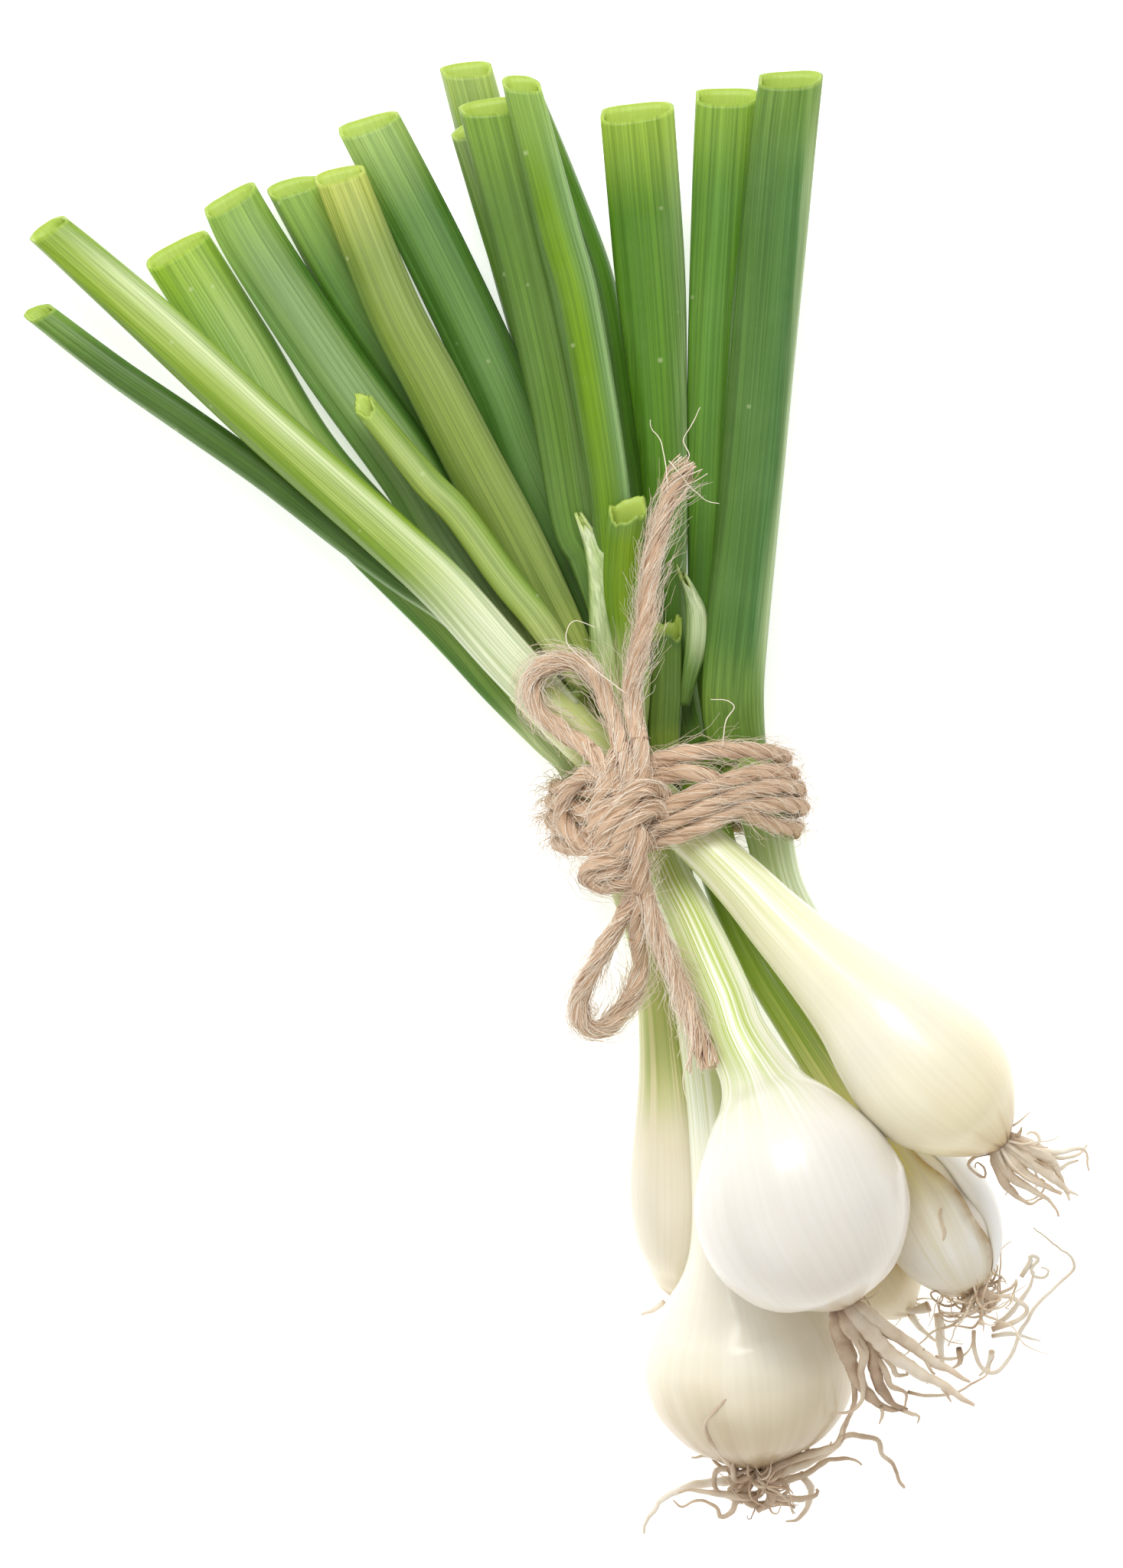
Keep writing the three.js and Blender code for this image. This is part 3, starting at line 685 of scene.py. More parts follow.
# The knot on top of the turns: the strand that crosses over, the bight tucked under it, the roll at
# its lower end, and the legs of the loops and tails that come out of it. [across, along, height, girth]
knot_routes = [
    [
        (-2.6, -0.4, 32.6, 0.9), (-4.4, 1.8, 35.2, 1.1), (-7.2, 1.6, 37.3, 1.2),
        (-10.2, -1.4, 37.8, 1.25), (-12.4, -4.8, 36.8, 1.2), (-13.4, -8.4, 34, 1),
        (-13, -10.8, 31.4, 0.9),
    ],
    [
        (-2.4, -3.6, 32.4, 0.9), (-4.6, -1.2, 35.2, 1.1), (-7.4, -2.4, 37.4, 1.2),
        (-9.8, -5.4, 37.4, 1.2), (-11.4, -8.4, 35.8, 1.1), (-12.6, -11, 33, 1),
    ],
    [
        (-7.4, 6, 35.6, 1), (-7.6, 3.4, 36.2, 1.1), (-9.6, 0.6, 36, 1.1), (-12.6, -2, 35, 1.1),
        (-14.6, -5, 33, 1),
    ],
    [
        (-10.6, 7.8, 34, 1), (-11.8, 4, 34.8, 1.1), (-13.2, 0.4, 34.4, 1.1), (-14.4, -3.6, 33, 1),
        (-13.6, -7.4, 31.6, 1),
    ],
    [
        (-5.2, -5.2, 33.6, 1), (-8, -7.8, 35.8, 1.15), (-12, -9.2, 35.6, 1.2), (-15, -10.8, 34, 1.2),
        (-15.2, -12.8, 32.6, 1.1), (-12, -13.6, 33, 1.1), (-8.4, -12.4, 34.2, 1.1), (-6.2, -9.8, 35, 1),
    ],
    [
        (-8.4, -9.4, 34.2, 1), (-11.6, -11, 34.8, 1.1), (-13.6, -12.2, 33.6, 1),
        (-10.4, -12.4, 33.4, 1.1), (-7.2, -10.8, 34.4, 1),
    ],
    [
        (-8.6, -2.6, 36.8, 1), (-7.6, -6, 37.4, 1.1), (-7.4, -9.4, 37, 1.1), (-7.4, -12, 36, 1),
        (-7.2, -14.2, 34.6, 1),
    ],
    [
        (-12.4, 3.8, 33.4, 1), (-15.8, 4, 31, 1), (-18.8, 1.4, 27.6, 0.95), (-19.6, -2.6, 25, 0.95),
        (-17.2, -6.6, 27, 1), (-13, -8.4, 31, 1),
    ],
]
knot_lines = [smooth_line([tie_point(*p) for p in route], 0.7)[1] for route in knot_routes]
# Where each strand of the bow runs on into the knot.
knot_entries = [
    [(-6.6, 11.4, 35.4), (-6.7, 8.6, 36.2), (-7.2, 5, 36.2), (-8, 1.5, 35.4)],
    [(-12.1, 13.6, 31.6), (-10.9, 11, 33.2), (-9.9, 7.4, 34.8), (-9.2, 3.4, 35)],
    [(-3.4, 12.8, 36), (-3.9, 9.8, 36.4), (-4.8, 6, 36.4), (-6, 2.4, 35.8)],
    [(-15.9, -14.6, 30.6), (-13.8, -12.6, 31.6), (-12, -9.6, 33), (-10.8, -6.4, 34)],
    [(-14.8, -19.8, 28.6), (-13.9, -16.4, 30.4), (-12.8, -13, 32), (-11.6, -9.4, 33.4)],
    [(-11, -13.2, 33.6), (-10.8, -10.6, 34.4), (-10.4, -7.4, 35), (-10, -4, 35.2)],
]
knot_lines += [smooth_line([[*point, 1.04] for point in entry], 0.7)[1] for entry in knot_entries]
knot = grow(
    "twine_knot_plies", knot_lines, twine_tree, {**TWINE, "Lay length": 0.016, "Seed": 5, "Fibres": 60}
)
finish_piece(knot, ["twine_knot"])
knot_fuzz = grow("twine_knot_fuzz", knot_lines, fibre_tree,
                 {**FUZZ, "Amount": 48, "Share": 0.4, "Lift": 0.0034, "Curl": 0.006, "Seed": 71})
finish_piece(knot_fuzz, [])


# ---------------------------------------------------------------- bulbs and necks

# Each onion's line from the root plate through the tie, and its colours by distance in mm from the
# root plate. veins is (start mm, full mm, strength), flush the yellow-green that shows in its veins.
onions = {
    "onion_1": dict(
        line=[
            [-2.3, -84.5, 36.5, 1.7, 1.8], [-2.7, -82.7, 37, 5.9, 6], [-3, -79, 38, 11.7, 12],
            [-3.8, -73.7, 39.5, 15.9, 16.2], [-4.6, -67.2, 40.3, 17.3, 17.4],
            [-4.3, -60.2, 40.3, 15.8, 16], [-4.1, -53.2, 39, 11.4, 11.5], [-4.1, -49, 37.5, 7.8, 7.8],
            [-4.3, -44.8, 36, 5.9, 5.9], [-5.1, -38.2, 33.5, 5, 5], [-5, -31.8, 30.5, 4.8, 4.6],
            [-5.3, -25.2, 27, 4.6, 4.3], [-5.7, -18.6, 23, 4.2, 4], [-6.4, -11.8, 18.6, 3.8, 3.8],
            [-6.6, -5.1, 16.2, 3.6, 3.6], [-5.9, 2.1, 15.8, 3.6, 3.6], [-5.5, 9.2, 16, 3.6, 3.5],
            [-4.8, 14.9, 16.6, 3.5, 3.3],
        ],
        skin=[
            (0, "9c7c60"), (1.6, "d8c8ae"), (6, "e9e1d2"), (16, "e6e1d8"), (26, "eae6dd"),
            (38, "ebe9da"), (46, "f0f1dd"), (54, "f4f6e4"), (74, "eff2d4"), (96, "dfe6b8"),
            (120, "c8d690"),
        ],
        flush="b6c95e",
        veins=(27, 48, 0.95),
        seed=0.0,
        slot="bulb_white",
    ),
    "onion_2": dict(
        line=[
            [28.8, -68.9, 39.5, 1.7, 1.8], [27.6, -66.4, 40, 5.5, 5.6], [26, -63, 40.4, 8.8, 9],
            [23.9, -58.7, 41, 11.3, 11.5], [21.1, -53.3, 41, 12.2, 12.4],
            [18.1, -46.3, 40.4, 10.8, 10.9], [15.1, -39.5, 38.6, 8.6, 8.7],
            [10.7, -30.8, 35.8, 6.4, 6.3], [7, -22.7, 32.5, 5.2, 5], [4.6, -16.9, 30, 4.6, 4.5],
            [1.5, -10.2, 27, 4.1, 3.9], [-2.4, -2.2, 24.6, 3.9, 3.5], [-6.3, 5.2, 24, 3.8, 3.4],
            [-10.5, 11.9, 23.4, 3.9, 3.4], [-13.9, 19.3, 22.6, 4, 3.5], [-17.2, 26.6, 21.8, 4, 3.4],
        ],
        skin=[
            (0, "8d6d52"), (1.6, "d9c294"), (6, "f2e6be"), (14, "f0e8ca"), (24, "ebe6d2"),
            (36, "ebe6ca"), (48, "f2eed0"), (60, "efefd4"), (74, "dde2b8"), (92, "d2da9e"),
            (112, "ccd69a"),
        ],
        flush="bcc862",
        veins=(34, 66, 0.6),
        seed=3.0,
        slot="bulb_cream",
    ),
    "onion_3": dict(
        line=[
            [-25.5, -107.2, 17.3, 1.8, 1.8], [-25.2, -105.7, 17.3, 6, 6],
            [-24.4, -102.7, 17.3, 11.5, 11.5], [-22.9, -97.2, 17.3, 15.9, 15.8],
            [-21.1, -90.1, 17.4, 17.3, 17.2], [-19.8, -83.5, 18.4, 15.4, 15.2],
            [-18.9, -77.8, 19.8, 11.2, 11], [-18.2, -72.6, 20.6, 7.2, 7], [-17.1, -66.3, 20.8, 5.1, 5],
            [-15.1, -57.8, 20, 4.2, 4.2], [-12.6, -48.2, 17.8, 3.9, 3.9], [-10.4, -38.4, 16.2, 3.8, 3.7],
            [-8.5, -28.5, 15, 3.6, 3.6], [-6.5, -17.3, 11.6, 3.5, 3.5], [-4.9, -7.2, 8.4, 3.3, 3.4],
            [-3.9, 1.4, 8, 3.5, 3.5], [-3.5, 8.5, 8, 3.6, 3.4], [-3.2, 14.5, 8, 3.6, 3.4],
        ],
        skin=[
            (0, "76583c"), (1.6, "b29a76"), (6, "cdbb98"), (14, "e8dec4"), (24, "ede8d6"),
            (34, "efeadb"), (42, "efe9d0"), (56, "eceedd"), (70, "d5dabb"), (92, "b9c690"),
            (120, "9db368"),
        ],
        flush="b4c068",
        veins=(44, 66, 0.6),
        seed=6.0,
        slot="bulb_cream",
    ),
    "onion_4": dict(
        line=[
            [-28.9, -77.4, 3.6, 1.3, 1.2], [-28.2, -76, 3.8, 3.1, 2.8], [-27, -72.9, 5, 4.8, 4.2],
            [-25.1, -68.7, 7.2, 7.2, 6.6], [-22.5, -62.3, 8.8, 8.5, 8.4], [-20.2, -55.5, 8.8, 8.1, 8],
            [-18.2, -48.1, 8.6, 6.7, 6.5], [-16.3, -40.8, 8.4, 5.5, 5.2], [-14, -30.8, 8.2, 4.5, 4.3],
            [-12.7, -20.5, 8, 3.7, 3.6], [-12.8, -8.3, 8, 3.4, 3.5], [-13.2, 2.6, 8, 3.4, 3.5],
            [-13.4, 9, 8, 3.5, 3.4],
        ],
        skin=[
            (0, "c9b48c"), (2, "efe6cf"), (10, "e6dec8"), (20, "ded6c0"), (30, "dbd2b4"), (38, "ddd6a2"),
            (48, "ccc986"), (60, "c3c684"), (80, "b5bf78"),
        ],
        flush="9fb04c",
        veins=(26, 42, 0.75),
        seed=9.0,
        slot="bulb_cream",
    ),
    "onion_5": dict(
        line=[
            [17.1, -91.6, 22.5, 1.5, 1.5], [16.9, -90, 22.6, 4.2, 4.3], [16.6, -85.7, 23, 7.7, 7.7],
            [16.2, -80.9, 23.3, 9.3, 9.3], [15.7, -76.4, 23.5, 9.5, 9.5], [15, -71.2, 23.3, 8.2, 8.2],
            [13.8, -65.5, 22.5, 6.2, 6.1], [11.4, -59.4, 21.2, 5.1, 4.9], [8.5, -51.2, 19.5, 4.6, 4.3],
            [5.9, -40.4, 17, 4.3, 3.9], [3.7, -30.3, 14.2, 4, 3.6], [2.5, -19.9, 10, 3.8, 3.5],
            [2.5, -11.2, 8, 3.7, 3.5], [3.5, -1.3, 8, 3.7, 3.4], [5.2, 8, 8, 3.7, 3.4],
            [6, 14, 8.4, 3.7, 3.4],
        ],
        skin=[
            (0, "8a6c4e"), (1.6, "d2bd95"), (6, "ebdfc3"), (14, "f3ece0"), (22, "f4efdf"),
            (28, "f1e9bb"), (34, "ecd98c"), (42, "dfdc8e"), (52, "b5c455"), (64, "9ab33c"),
            (84, "8da642"), (110, "8aa650"),
        ],
        flush="7f9f2c",
        veins=(30, 50, 0.8),
        seed=12.0,
        slot="bulb_cream",
    ),
    "onion_6": dict(
        line=[
            [6.9, -92.6, 8.8, 1.3, 1.3], [6.1, -91.1, 8.8, 3.8, 3.8], [5, -88, 8.9, 7.1, 7],
            [4.3, -84.2, 9, 8.9, 8.8], [4, -79.8, 9, 8.7, 8.5], [4.3, -74.5, 8.8, 7.1, 7],
            [5.1, -68.8, 8.4, 5.3, 5.2], [6.7, -61.3, 8, 4.1, 4], [9.7, -51.6, 7.8, 3.7, 3.6],
            [12.2, -41.7, 8, 3.6, 3.5], [12.1, -30.8, 9.8, 3.6, 3.5], [10.6, -19.2, 14, 3.6, 3.4],
            [11.6, -9, 16.5, 3.9, 3.6], [11.8, -0.1, 17.2, 4.4, 3.6], [11.4, 7.2, 17.6, 4.4, 3],
            [12.4, 12.6, 18, 3.6, 2.2],
        ],
        skin=[
            (0, "b59664"), (2, "e2d5b4"), (10, "dfd0a6"), (22, "e9e2cc"), (34, "eeeadb"), (48, "eef0dc"),
            (62, "e6ecd2"), (76, "dbe5c2"), (88, "b9cd8f"), (98, "8fae55"), (108, "76983f"),
        ],
        flush="9bb45c",
        veins=(50, 70, 0.55),
        seed=15.0,
        slot="bulb_cream",
    ),
}


def onion_material(name, skin, flush, veins, seed, length):
    # Onion scale: a thin moist papery skin over juicy flesh. Satin highlight, a little light goes in,
    # fine lengthwise veins about 1 mm apart that turn green on the neck.
    material, tree, shader = new_material(name)
    distance = add(tree, "ShaderNodeMath", {
        0: add(tree, "ShaderNodeAttribute", attribute_name="reach").outputs["Fac"], 1: length
    }, operation="DIVIDE").outputs[0]
    wobble = add(tree, "ShaderNodeMath", {
        0: add(tree, "ShaderNodeMath", {
            0: lengthwise(tree, 2.6, 60, offset=seed), 1: 0.5
        }, operation="SUBTRACT"),
        1: 0.09,
    }, operation="MULTIPLY").outputs[0]
    distance = add(tree, "ShaderNodeMath", {
        0: distance, 1: wobble
    }, operation="ADD", use_clamp=True).outputs[0]
    colour = add(tree, "ShaderNodeValToRGB", {
        0: distance
    }, stops=[(mm / length, tone) for mm, tone in skin]).outputs[0]
    start, full, strength = veins
    fade = add(tree, "ShaderNodeMapRange", {
        0: add(tree, "ShaderNodeAttribute", attribute_name="reach").outputs["Fac"],
        1: start,
        2: full,
        3: 0.0,
        4: strength,
    }, interpolation_type="SMOOTHSTEP").outputs[0]
    broad = add(tree, "ShaderNodeValToRGB", {
        0: lengthwise(tree, 1.5, 150, 1.0, seed + 1)
    }, stops=[(0.47, 0.0), (0.56, 1.0)]).outputs[0]
    narrow = add(tree, "ShaderNodeValToRGB", {
        0: lengthwise(tree, 0.55, 130, 1.0, seed + 2)
    }, stops=[(0.5, 0.0), (0.6, 1.0)]).outputs[0]
    vein = add(tree, "ShaderNodeMath", {
        0: add(tree, "ShaderNodeMath", {0: broad, 1: 0.75}, operation="MULTIPLY"), 1: narrow
    }, operation="MAXIMUM").outputs[0]
    colour = add(tree, "ShaderNodeMix", {
        0: add(tree, "ShaderNodeMath", {0: vein, 1: fade}, operation="MULTIPLY"),
        6: colour,
        7: linear(flush),
    }, data_type="RGBA").outputs[2]
    hair_lines = add(tree, "ShaderNodeValToRGB", {
        0: lengthwise(tree, 0.35, 90, 2.0, seed + 3)
    }, stops=[(0.42, "e9e4d8"), (0.55, "ffffff")]).outputs[0]
    colour = add(tree, "ShaderNodeMix", {
        0: 0.12, 6: colour, 7: hair_lines
    }, data_type="RGBA", blend_type="MULTIPLY").outputs[2]
    where = add(tree, "ShaderNodeTexCoord").outputs["Object"]
    specks = add(tree, "ShaderNodeTexVoronoi", {
        "Vector": where, "Scale": 105.0
    }, feature="F1").outputs["Distance"]
    patchy = add(tree, "ShaderNodeTexNoise", {
        "Vector": where, "Scale": 28.0, "Detail": 1.0, "W": seed
    }, noise_dimensions="4D")
    rare = add(tree, "ShaderNodeMath", {
        0: add(tree, "ShaderNodeValToRGB", {0: specks}, stops=[(0.02, 1.0), (0.05, 0.0)]),
        1: add(tree, "ShaderNodeValToRGB", {0: patchy.outputs["Fac"]}, stops=[(0.58, 0.0), (0.62, 1.0)]),
    }, operation="MULTIPLY").outputs[0]
    colour = add(tree, "ShaderNodeMix", {
        0: add(tree, "ShaderNodeMath", {0: rare, 1: 0.6}, operation="MULTIPLY"),
        6: colour,
        7: linear("a07c4c"),
    }, data_type="RGBA").outputs[2]
    tree.links.new(colour, shader.inputs["Base Color"])
    shader.inputs["Roughness"].default_value = 0.36
    shader.inputs["Subsurface Weight"].default_value = 0.22
    shader.inputs["Subsurface Radius"].default_value = (0.0035, 0.0028, 0.0015)
    shader.inputs["Subsurface Scale"].default_value = 1.0
    shader.inputs["Coat Weight"].default_value = 0.35
    shader.inputs["Coat Roughness"].default_value = 0.14
    ridges = add(tree, "ShaderNodeMath", {
        0: lengthwise(tree, 0.6, 70, 2.0, seed + 3),
        1: add(tree, "ShaderNodeMath", {
            0: lengthwise(tree, 2.4, 90, 1.0, seed + 4), 1: 1.3
        }, operation="MULTIPLY"),
    }, operation="ADD").outputs[0]
    tree.links.new(
        add(tree, "ShaderNodeBump", {"Height": ridges, "Distance": 0.05 * MM, "Strength": 0.5}).outputs[0],
        shader.inputs["Normal"],
    )
    return material


BULB_SIDES = 72
onion_frames = {}


def round_rings(line, sides, flute=0.0, phase=0.0, lift=0.0):
    """Elliptical rings along rows of [x, y, z, half width, half height], faintly fluted lengthwise."""
    tangent, side, upright = frames_along(line)
    angle = np.linspace(0, 2 * np.pi, sides, endpoint=False)
    waves = np.sin(5 * angle + phase) + 0.6 * np.sin(11 * angle + 2 * phase)
    swell = 1 + flute * (waves + 0.4 * np.sin(3 * angle - phase))
    across = np.cos(angle) * swell
    up = np.sin(angle) * swell
    wide = (line[:, 3] + lift)[:, None, None] * across[None, :, None] * side[:, None, :]
    high = (line[:, 4] + lift)[:, None, None] * up[None, :, None] * upright[:, None, :]
    return line[:, None, :3] + wide + high, angle


def make_bulb(name, line, skin, flush, veins, seed, slot):
    stations, rows = smooth_line(line, 0.9)
    rings, angle = round_rings(rows, BULB_SIDES, 0.0025, seed)
    onion_frames[name] = (stations, rows)
    count = len(rows)
    points = np.vstack([rings.reshape(-1, 3), rows[0, :3], rows[-1, :3]])
    grain = np.stack([np.tile(6 * np.cos(angle), (count, 1)), np.tile(6 * np.sin(angle), (count, 1)),
                      np.tile(stations[:, None], (1, BULB_SIDES))], axis=-1).reshape(-1, 3)
    grain = np.vstack([grain, [[0, 0, 0], [0, 0, stations[-1]]]])
    reach_mm = np.concatenate([np.repeat(stations, BULB_SIDES), [0, stations[-1]]])
    poles = count * BULB_SIDES
    faces = tube_faces(count, BULB_SIDES, poles, poles + 1)
    material = onion_material(name + " scale", skin, flush, veins, seed, float(stations[-1]))
    piece = mesh_object(name + "_scales", points, faces, {"grain": grain, "reach": reach_mm}, material)
    return finish_piece(piece, [name + "_bulb"])


for name, onion in onions.items():
    make_bulb(name, **onion)


# ---------------------------------------------------------------- leaves

# Each leaf: its rows, five colours across it from left to right (its greens with painted highlight stripes and
# painted shade down its sides), the paler sheath colour at its base, how far up the sheath colour reaches (share
# of its length), and its tip: "cut" or "ragged".
leaves = {
    "leaf_1a": dict(
        line=[
            [-4.6, 14, 16, 3, 2], [-2.7, 21.3, 15.4, 3.4, 2.2], [-0.2, 32.6, 16.6, 3.9, 2.1],
            [0.3, 43.1, 18, 4.4, 2.1], [-0.1, 48.5, 18.8, 4.6, 2.1], [3.5, 68.4, 20.4, 4.9, 2.1],
            [6.3, 89.9, 21, 5, 2.1], [9, 117, 21.2, 4.8, 2.1],
        ],
        across="5f7f3c 668a38 64882f 739050 668a33",
        base="bcc58a",
        fade=0.22,
        tip="8eae46",
    ),
    "leaf_1b": dict(
        line=[
            [-4, 13, 19, 2, 1.6], [-2.6, 19, 19.4, 2.2, 1.6], [-0.3, 27, 20.4, 2.7, 1.6],
            [3.5, 41.5, 22.2, 3.2, 1.8], [7, 56, 24.4, 3.4, 1.9], [11.4, 81, 26, 3.7, 2],
            [12.6, 94, 26.2, 3.6, 2], [15, 118, 26.4, 3, 1.9],
        ],
        across="5c7d3e 6e9305 7aa010 719650 9cbc8a",
        base="a6b860",
        fade=0.1,
        tip="a2bf64",
    ),
    "leaf_1c": dict(
        line=[
            [-2.4, 18, 23, 1.6, 1.2], [-0.4, 25.7, 24.2, 1.9, 1.3], [1.9, 34.2, 25.4, 2.8, 1.5],
            [4.7, 41.1, 26.6, 3.1, 1.6], [7.7, 47, 28, 3.1, 1.6],
        ],
        across="6c8f12 77990e 82a018 7e9d17 7c9a30",
        base="b8c48c",
        fade=0.45,
        tip="78984a",
        end="ragged",
    ),
    "leaf_2a": dict(
        line=[
            [-13.8, 19, 22.4, 3.8, 3.3], [-19.2, 31.7, 21.2, 4.1, 3.3], [-24.6, 45.4, 20, 4.2, 3.2],
            [-30.9, 58, 18.6, 4.2, 3.2], [-42.9, 80.5, 16.5, 4.2, 3.2], [-54.7, 103.4, 14.5, 4.1, 3.1],
            [-66, 124, 12.6, 3.4, 2.8],
        ],
        across="7f9e34 93ae3a bccd7c dbe4c2 98b644",
        base="eff1e6",
        fade=0.34,
        tip="8fab31",
    ),
    "leaf_2b": dict(
        line=[
            [-21, 33.5, 16, 1.6, 1.5], [-26.5, 42.9, 15.2, 1.9, 1.6], [-31.4, 49.8, 14.2, 2, 1.7],
            [-37.4, 59.3, 13, 2.2, 1.8], [-45.8, 73.2, 11.4, 2.4, 2], [-54.7, 86.1, 9.8, 2.5, 2],
            [-63.7, 98.7, 8.4, 2.4, 2], [-72.4, 112.2, 7.2, 2.2, 1.8],
        ],
        across="6f8f55 557632 51752a 52762b 4c7427",
        base="a3b880",
        fade=0.2,
        tip="7da045",
    ),
    "leaf_2c": dict(
        line=[
            [-9.2, 23, 20.2, 1.6, 1.5], [-10.3, 28.6, 20.4, 2, 1.6], [-12.2, 36.2, 20.6, 2.5, 1.7],
            [-14.8, 43.8, 20.6, 2.6, 1.7], [-18.3, 56.1, 20.4, 2.5, 1.7], [-21.6, 63.6, 20.2, 2.4, 1.6],
            [-26.8, 78.4, 19.6, 1.9, 1.5],
        ],
        across="96a94c a6b768 b8c88a 93ac55 7e9840",
        base="c3cb90",
        fade=0.3,
        tip="a4bc60",
        end="ragged",
    ),
    "leaf_3a": dict(
        line=[
            [-8.2, 12.5, 6.6, 2.4, 2], [-9.7, 22.3, 6.8, 2.8, 2], [-10.5, 30.7, 7.2, 3.5, 2],
            [-11.7, 45.2, 7.6, 4.2, 2], [-13.3, 58.5, 7.4, 4.5, 2], [-18.4, 80.8, 6.8, 4.8, 2],
            [-22.3, 97, 6.4, 4.7, 2], [-25.7, 117.6, 6, 4.3, 2],
        ],
        across="457518 558422 5f8a34 7e9846 8e9f52",
        base="b9c078",
        fade=0.2,
        tip="a6c463",
    ),
    "leaf_3b": dict(
        line=[
            [-8, 22, 13.6, 2.6, 1.9], [-8.5, 29, 15, 3.4, 2], [-9.7, 38.8, 15.6, 4.1, 2],
            [-11.2, 50.1, 15.8, 4.6, 2.1], [-13.2, 64.2, 15.6, 4.6, 2.1], [-15, 78.2, 15, 4.6, 2.1],
            [-16.9, 92.4, 14, 4.5, 2.1], [-17.7, 116, 12, 4.2, 2],
        ],
        across="6b8439 7f943a 92a452 94a55a 93a46a",
        base="b4c070",
        fade=0.2,
        tip="cfd272",
    ),
    "leaf_3c": dict(
        line=[
            [-3.2, 14, 8.2, 2.8, 2], [-3.3, 19.5, 8.4, 3, 2], [-2.4, 27, 9, 3.6, 2],
            [-2.8, 37.2, 9.4, 4.4, 2], [-3.4, 47.5, 9.6, 5.1, 2], [-4.5, 61.4, 9.4, 5.3, 2],
            [-4.9, 75, 9, 5.3, 2], [-7.4, 100.4, 7.8, 5.3, 2], [-10.4, 123.1, 6.5, 5.1, 2],
        ],
        across="4e7a30 568330 70984e 5e8841 4a781f",
        base="a9b86a",
        fade=0.2,
        tip="b8d17d",
    ),
    "leaf_4a": dict(
        line=[
            [-13.8, 8, 8, 3.2, 2.8], [-14.5, 13.1, 8, 3.4, 2.8], [-16.2, 17.4, 7.8, 3.9, 2.7],
            [-20.4, 28.8, 7.2, 4.8, 2.4], [-25.3, 42.1, 6.6, 5.4, 2.2], [-38.4, 72.1, 5, 5.9, 2.3],
            [-43.4, 95.7, 3.8, 5.9, 2.3], [-47.4, 114.8, 2.7, 5.8, 2.2],
        ],
        across="5c8a2c 8fb055 a3c070 b8cf84 82a858",
        base="ccd8a8",
        fade=0.2,
        tip="a9c83c",
    ),
    "leaf_4b": dict(
        line=[
            [-14.6, 22, 12.4, 2.6, 2], [-16, 31, 12.3, 3.6, 2.1], [-18.2, 42, 12.4, 4.9, 2.1],
            [-21.4, 55.3, 12, 5.3, 2.1], [-23.5, 66, 11.4, 5.4, 2.1], [-29.3, 87.1, 9.6, 5.4, 2.1],
            [-34.7, 109.5, 8, 5.2, 2.1], [-36.2, 119, 7.4, 4.8, 2],
        ],
        across="6f9450 84a262 8ca874 7d9c58 4d7a2c",
        base="c4cf9a",
        fade=0.25,
        tip="9dbe55",
    ),
    "leaf_5a": dict(
        line=[
            [4.2, 8, 12.4, 3.4, 2.6], [4.6, 13, 13.4, 3.4, 2.2], [5.6, 18.4, 14, 3.4, 2.1],
            [8.1, 29.7, 15, 3.3, 2], [14.3, 47.4, 16.5, 3.7, 2.1], [19.7, 65.4, 18, 4.8, 2.2],
            [24.8, 83.4, 19, 5.8, 2.2], [31.4, 108.2, 20, 6, 2.2],
        ],
        across="538016 57871b 5f8d1f 648c3a a4c08c",
        base="6c8f3c",
        fade=0.25,
        tip="acc54c",
    ),
    "leaf_5b": dict(
        line=[
            [7.6, 11, 12.4, 1.8, 1.8], [8.8, 16.8, 12.8, 1.9, 1.8], [15.4, 32.4, 13.8, 2.4, 1.9],
            [21.5, 47.5, 15.4, 3.1, 2], [30.9, 70.6, 18, 3.8, 2.1], [40.8, 93.4, 20, 4.9, 2.1],
            [46, 105.4, 20.8, 5.2, 2.1],
        ],
        across="5b862e 638f2c 66953e 649034 56812c",
        base="78983c",
        fade=0.2,
        tip="99b945",
    ),
    "leaf_5c": dict(
        line=[
            [0, 8, 19, 2.2, 1.2], [1.3, 12, 19.5, 2.6, 1.3], [3.7, 17.8, 20, 2.7, 1.3],
            [7.2, 27.1, 21, 2.5, 1.2],
        ],
        across="6a8732 74913b 749441 719143 688641",
        base="8ca44a",
        fade=0.3,
        tip="577a3a",
        end="ragged",
    ),
    "leaf_5d": dict(
        line=[
            [4.6, 20, 8.4, 2, 1.7], [4.6, 35.2, 9.6, 2.6, 1.8], [8.2, 50, 9.6, 3.6, 1.8],
            [10.3, 61.4, 9.6, 4.2, 1.9], [13.1, 74.5, 9.6, 4.4, 1.9], [14.9, 86.9, 9.4, 4.4, 1.9],
            [14.7, 103.7, 9, 4.4, 1.9], [14.3, 116.6, 8.6, 4.2, 1.9],
        ],
        across="709527 749b2a 6f964a 65962c 5a8826",
        base="9aae60",
        fade=0.15,
        tip="85a551",
    ),
    "leaf_6a": dict(
        line=[
            [10.8, 3, 17.5, 4.6, 3.2], [12, 9, 19, 5, 2.9], [14.2, 15.4, 20.4, 5.1, 2.6],
            [19, 25.5, 21.2, 5.1, 2.4], [29.9, 48, 22.6, 5.2, 2.3], [40.3, 70.6, 24, 5.3, 2.3],
            [50.2, 92, 25, 5.3, 2.3], [56.2, 104, 25.6, 5.1, 2.2],
        ],
        across="577b36 587f38 588040 55804a b4c8a0",
        base="7c9c48",
        fade=0.2,
        tip="7d9e44",
    ),
    "leaf_6b": dict(
        line=[
            [-1.4, 24, 4, 3.2, 1.8], [-1.1, 33.4, 4, 3.8, 1.8], [0.7, 47.7, 3.8, 4.1, 1.8],
            [2.3, 63.4, 3.6, 4.3, 1.9], [4, 79.1, 3.4, 4.4, 1.9], [5.2, 94.9, 3.1, 4.4, 1.9],
            [8.1, 126.5, 2.4, 4.2, 1.9],
        ],
        across="587939 64893f 658836 6c8e3b 6b9042",
        base="a6b461",
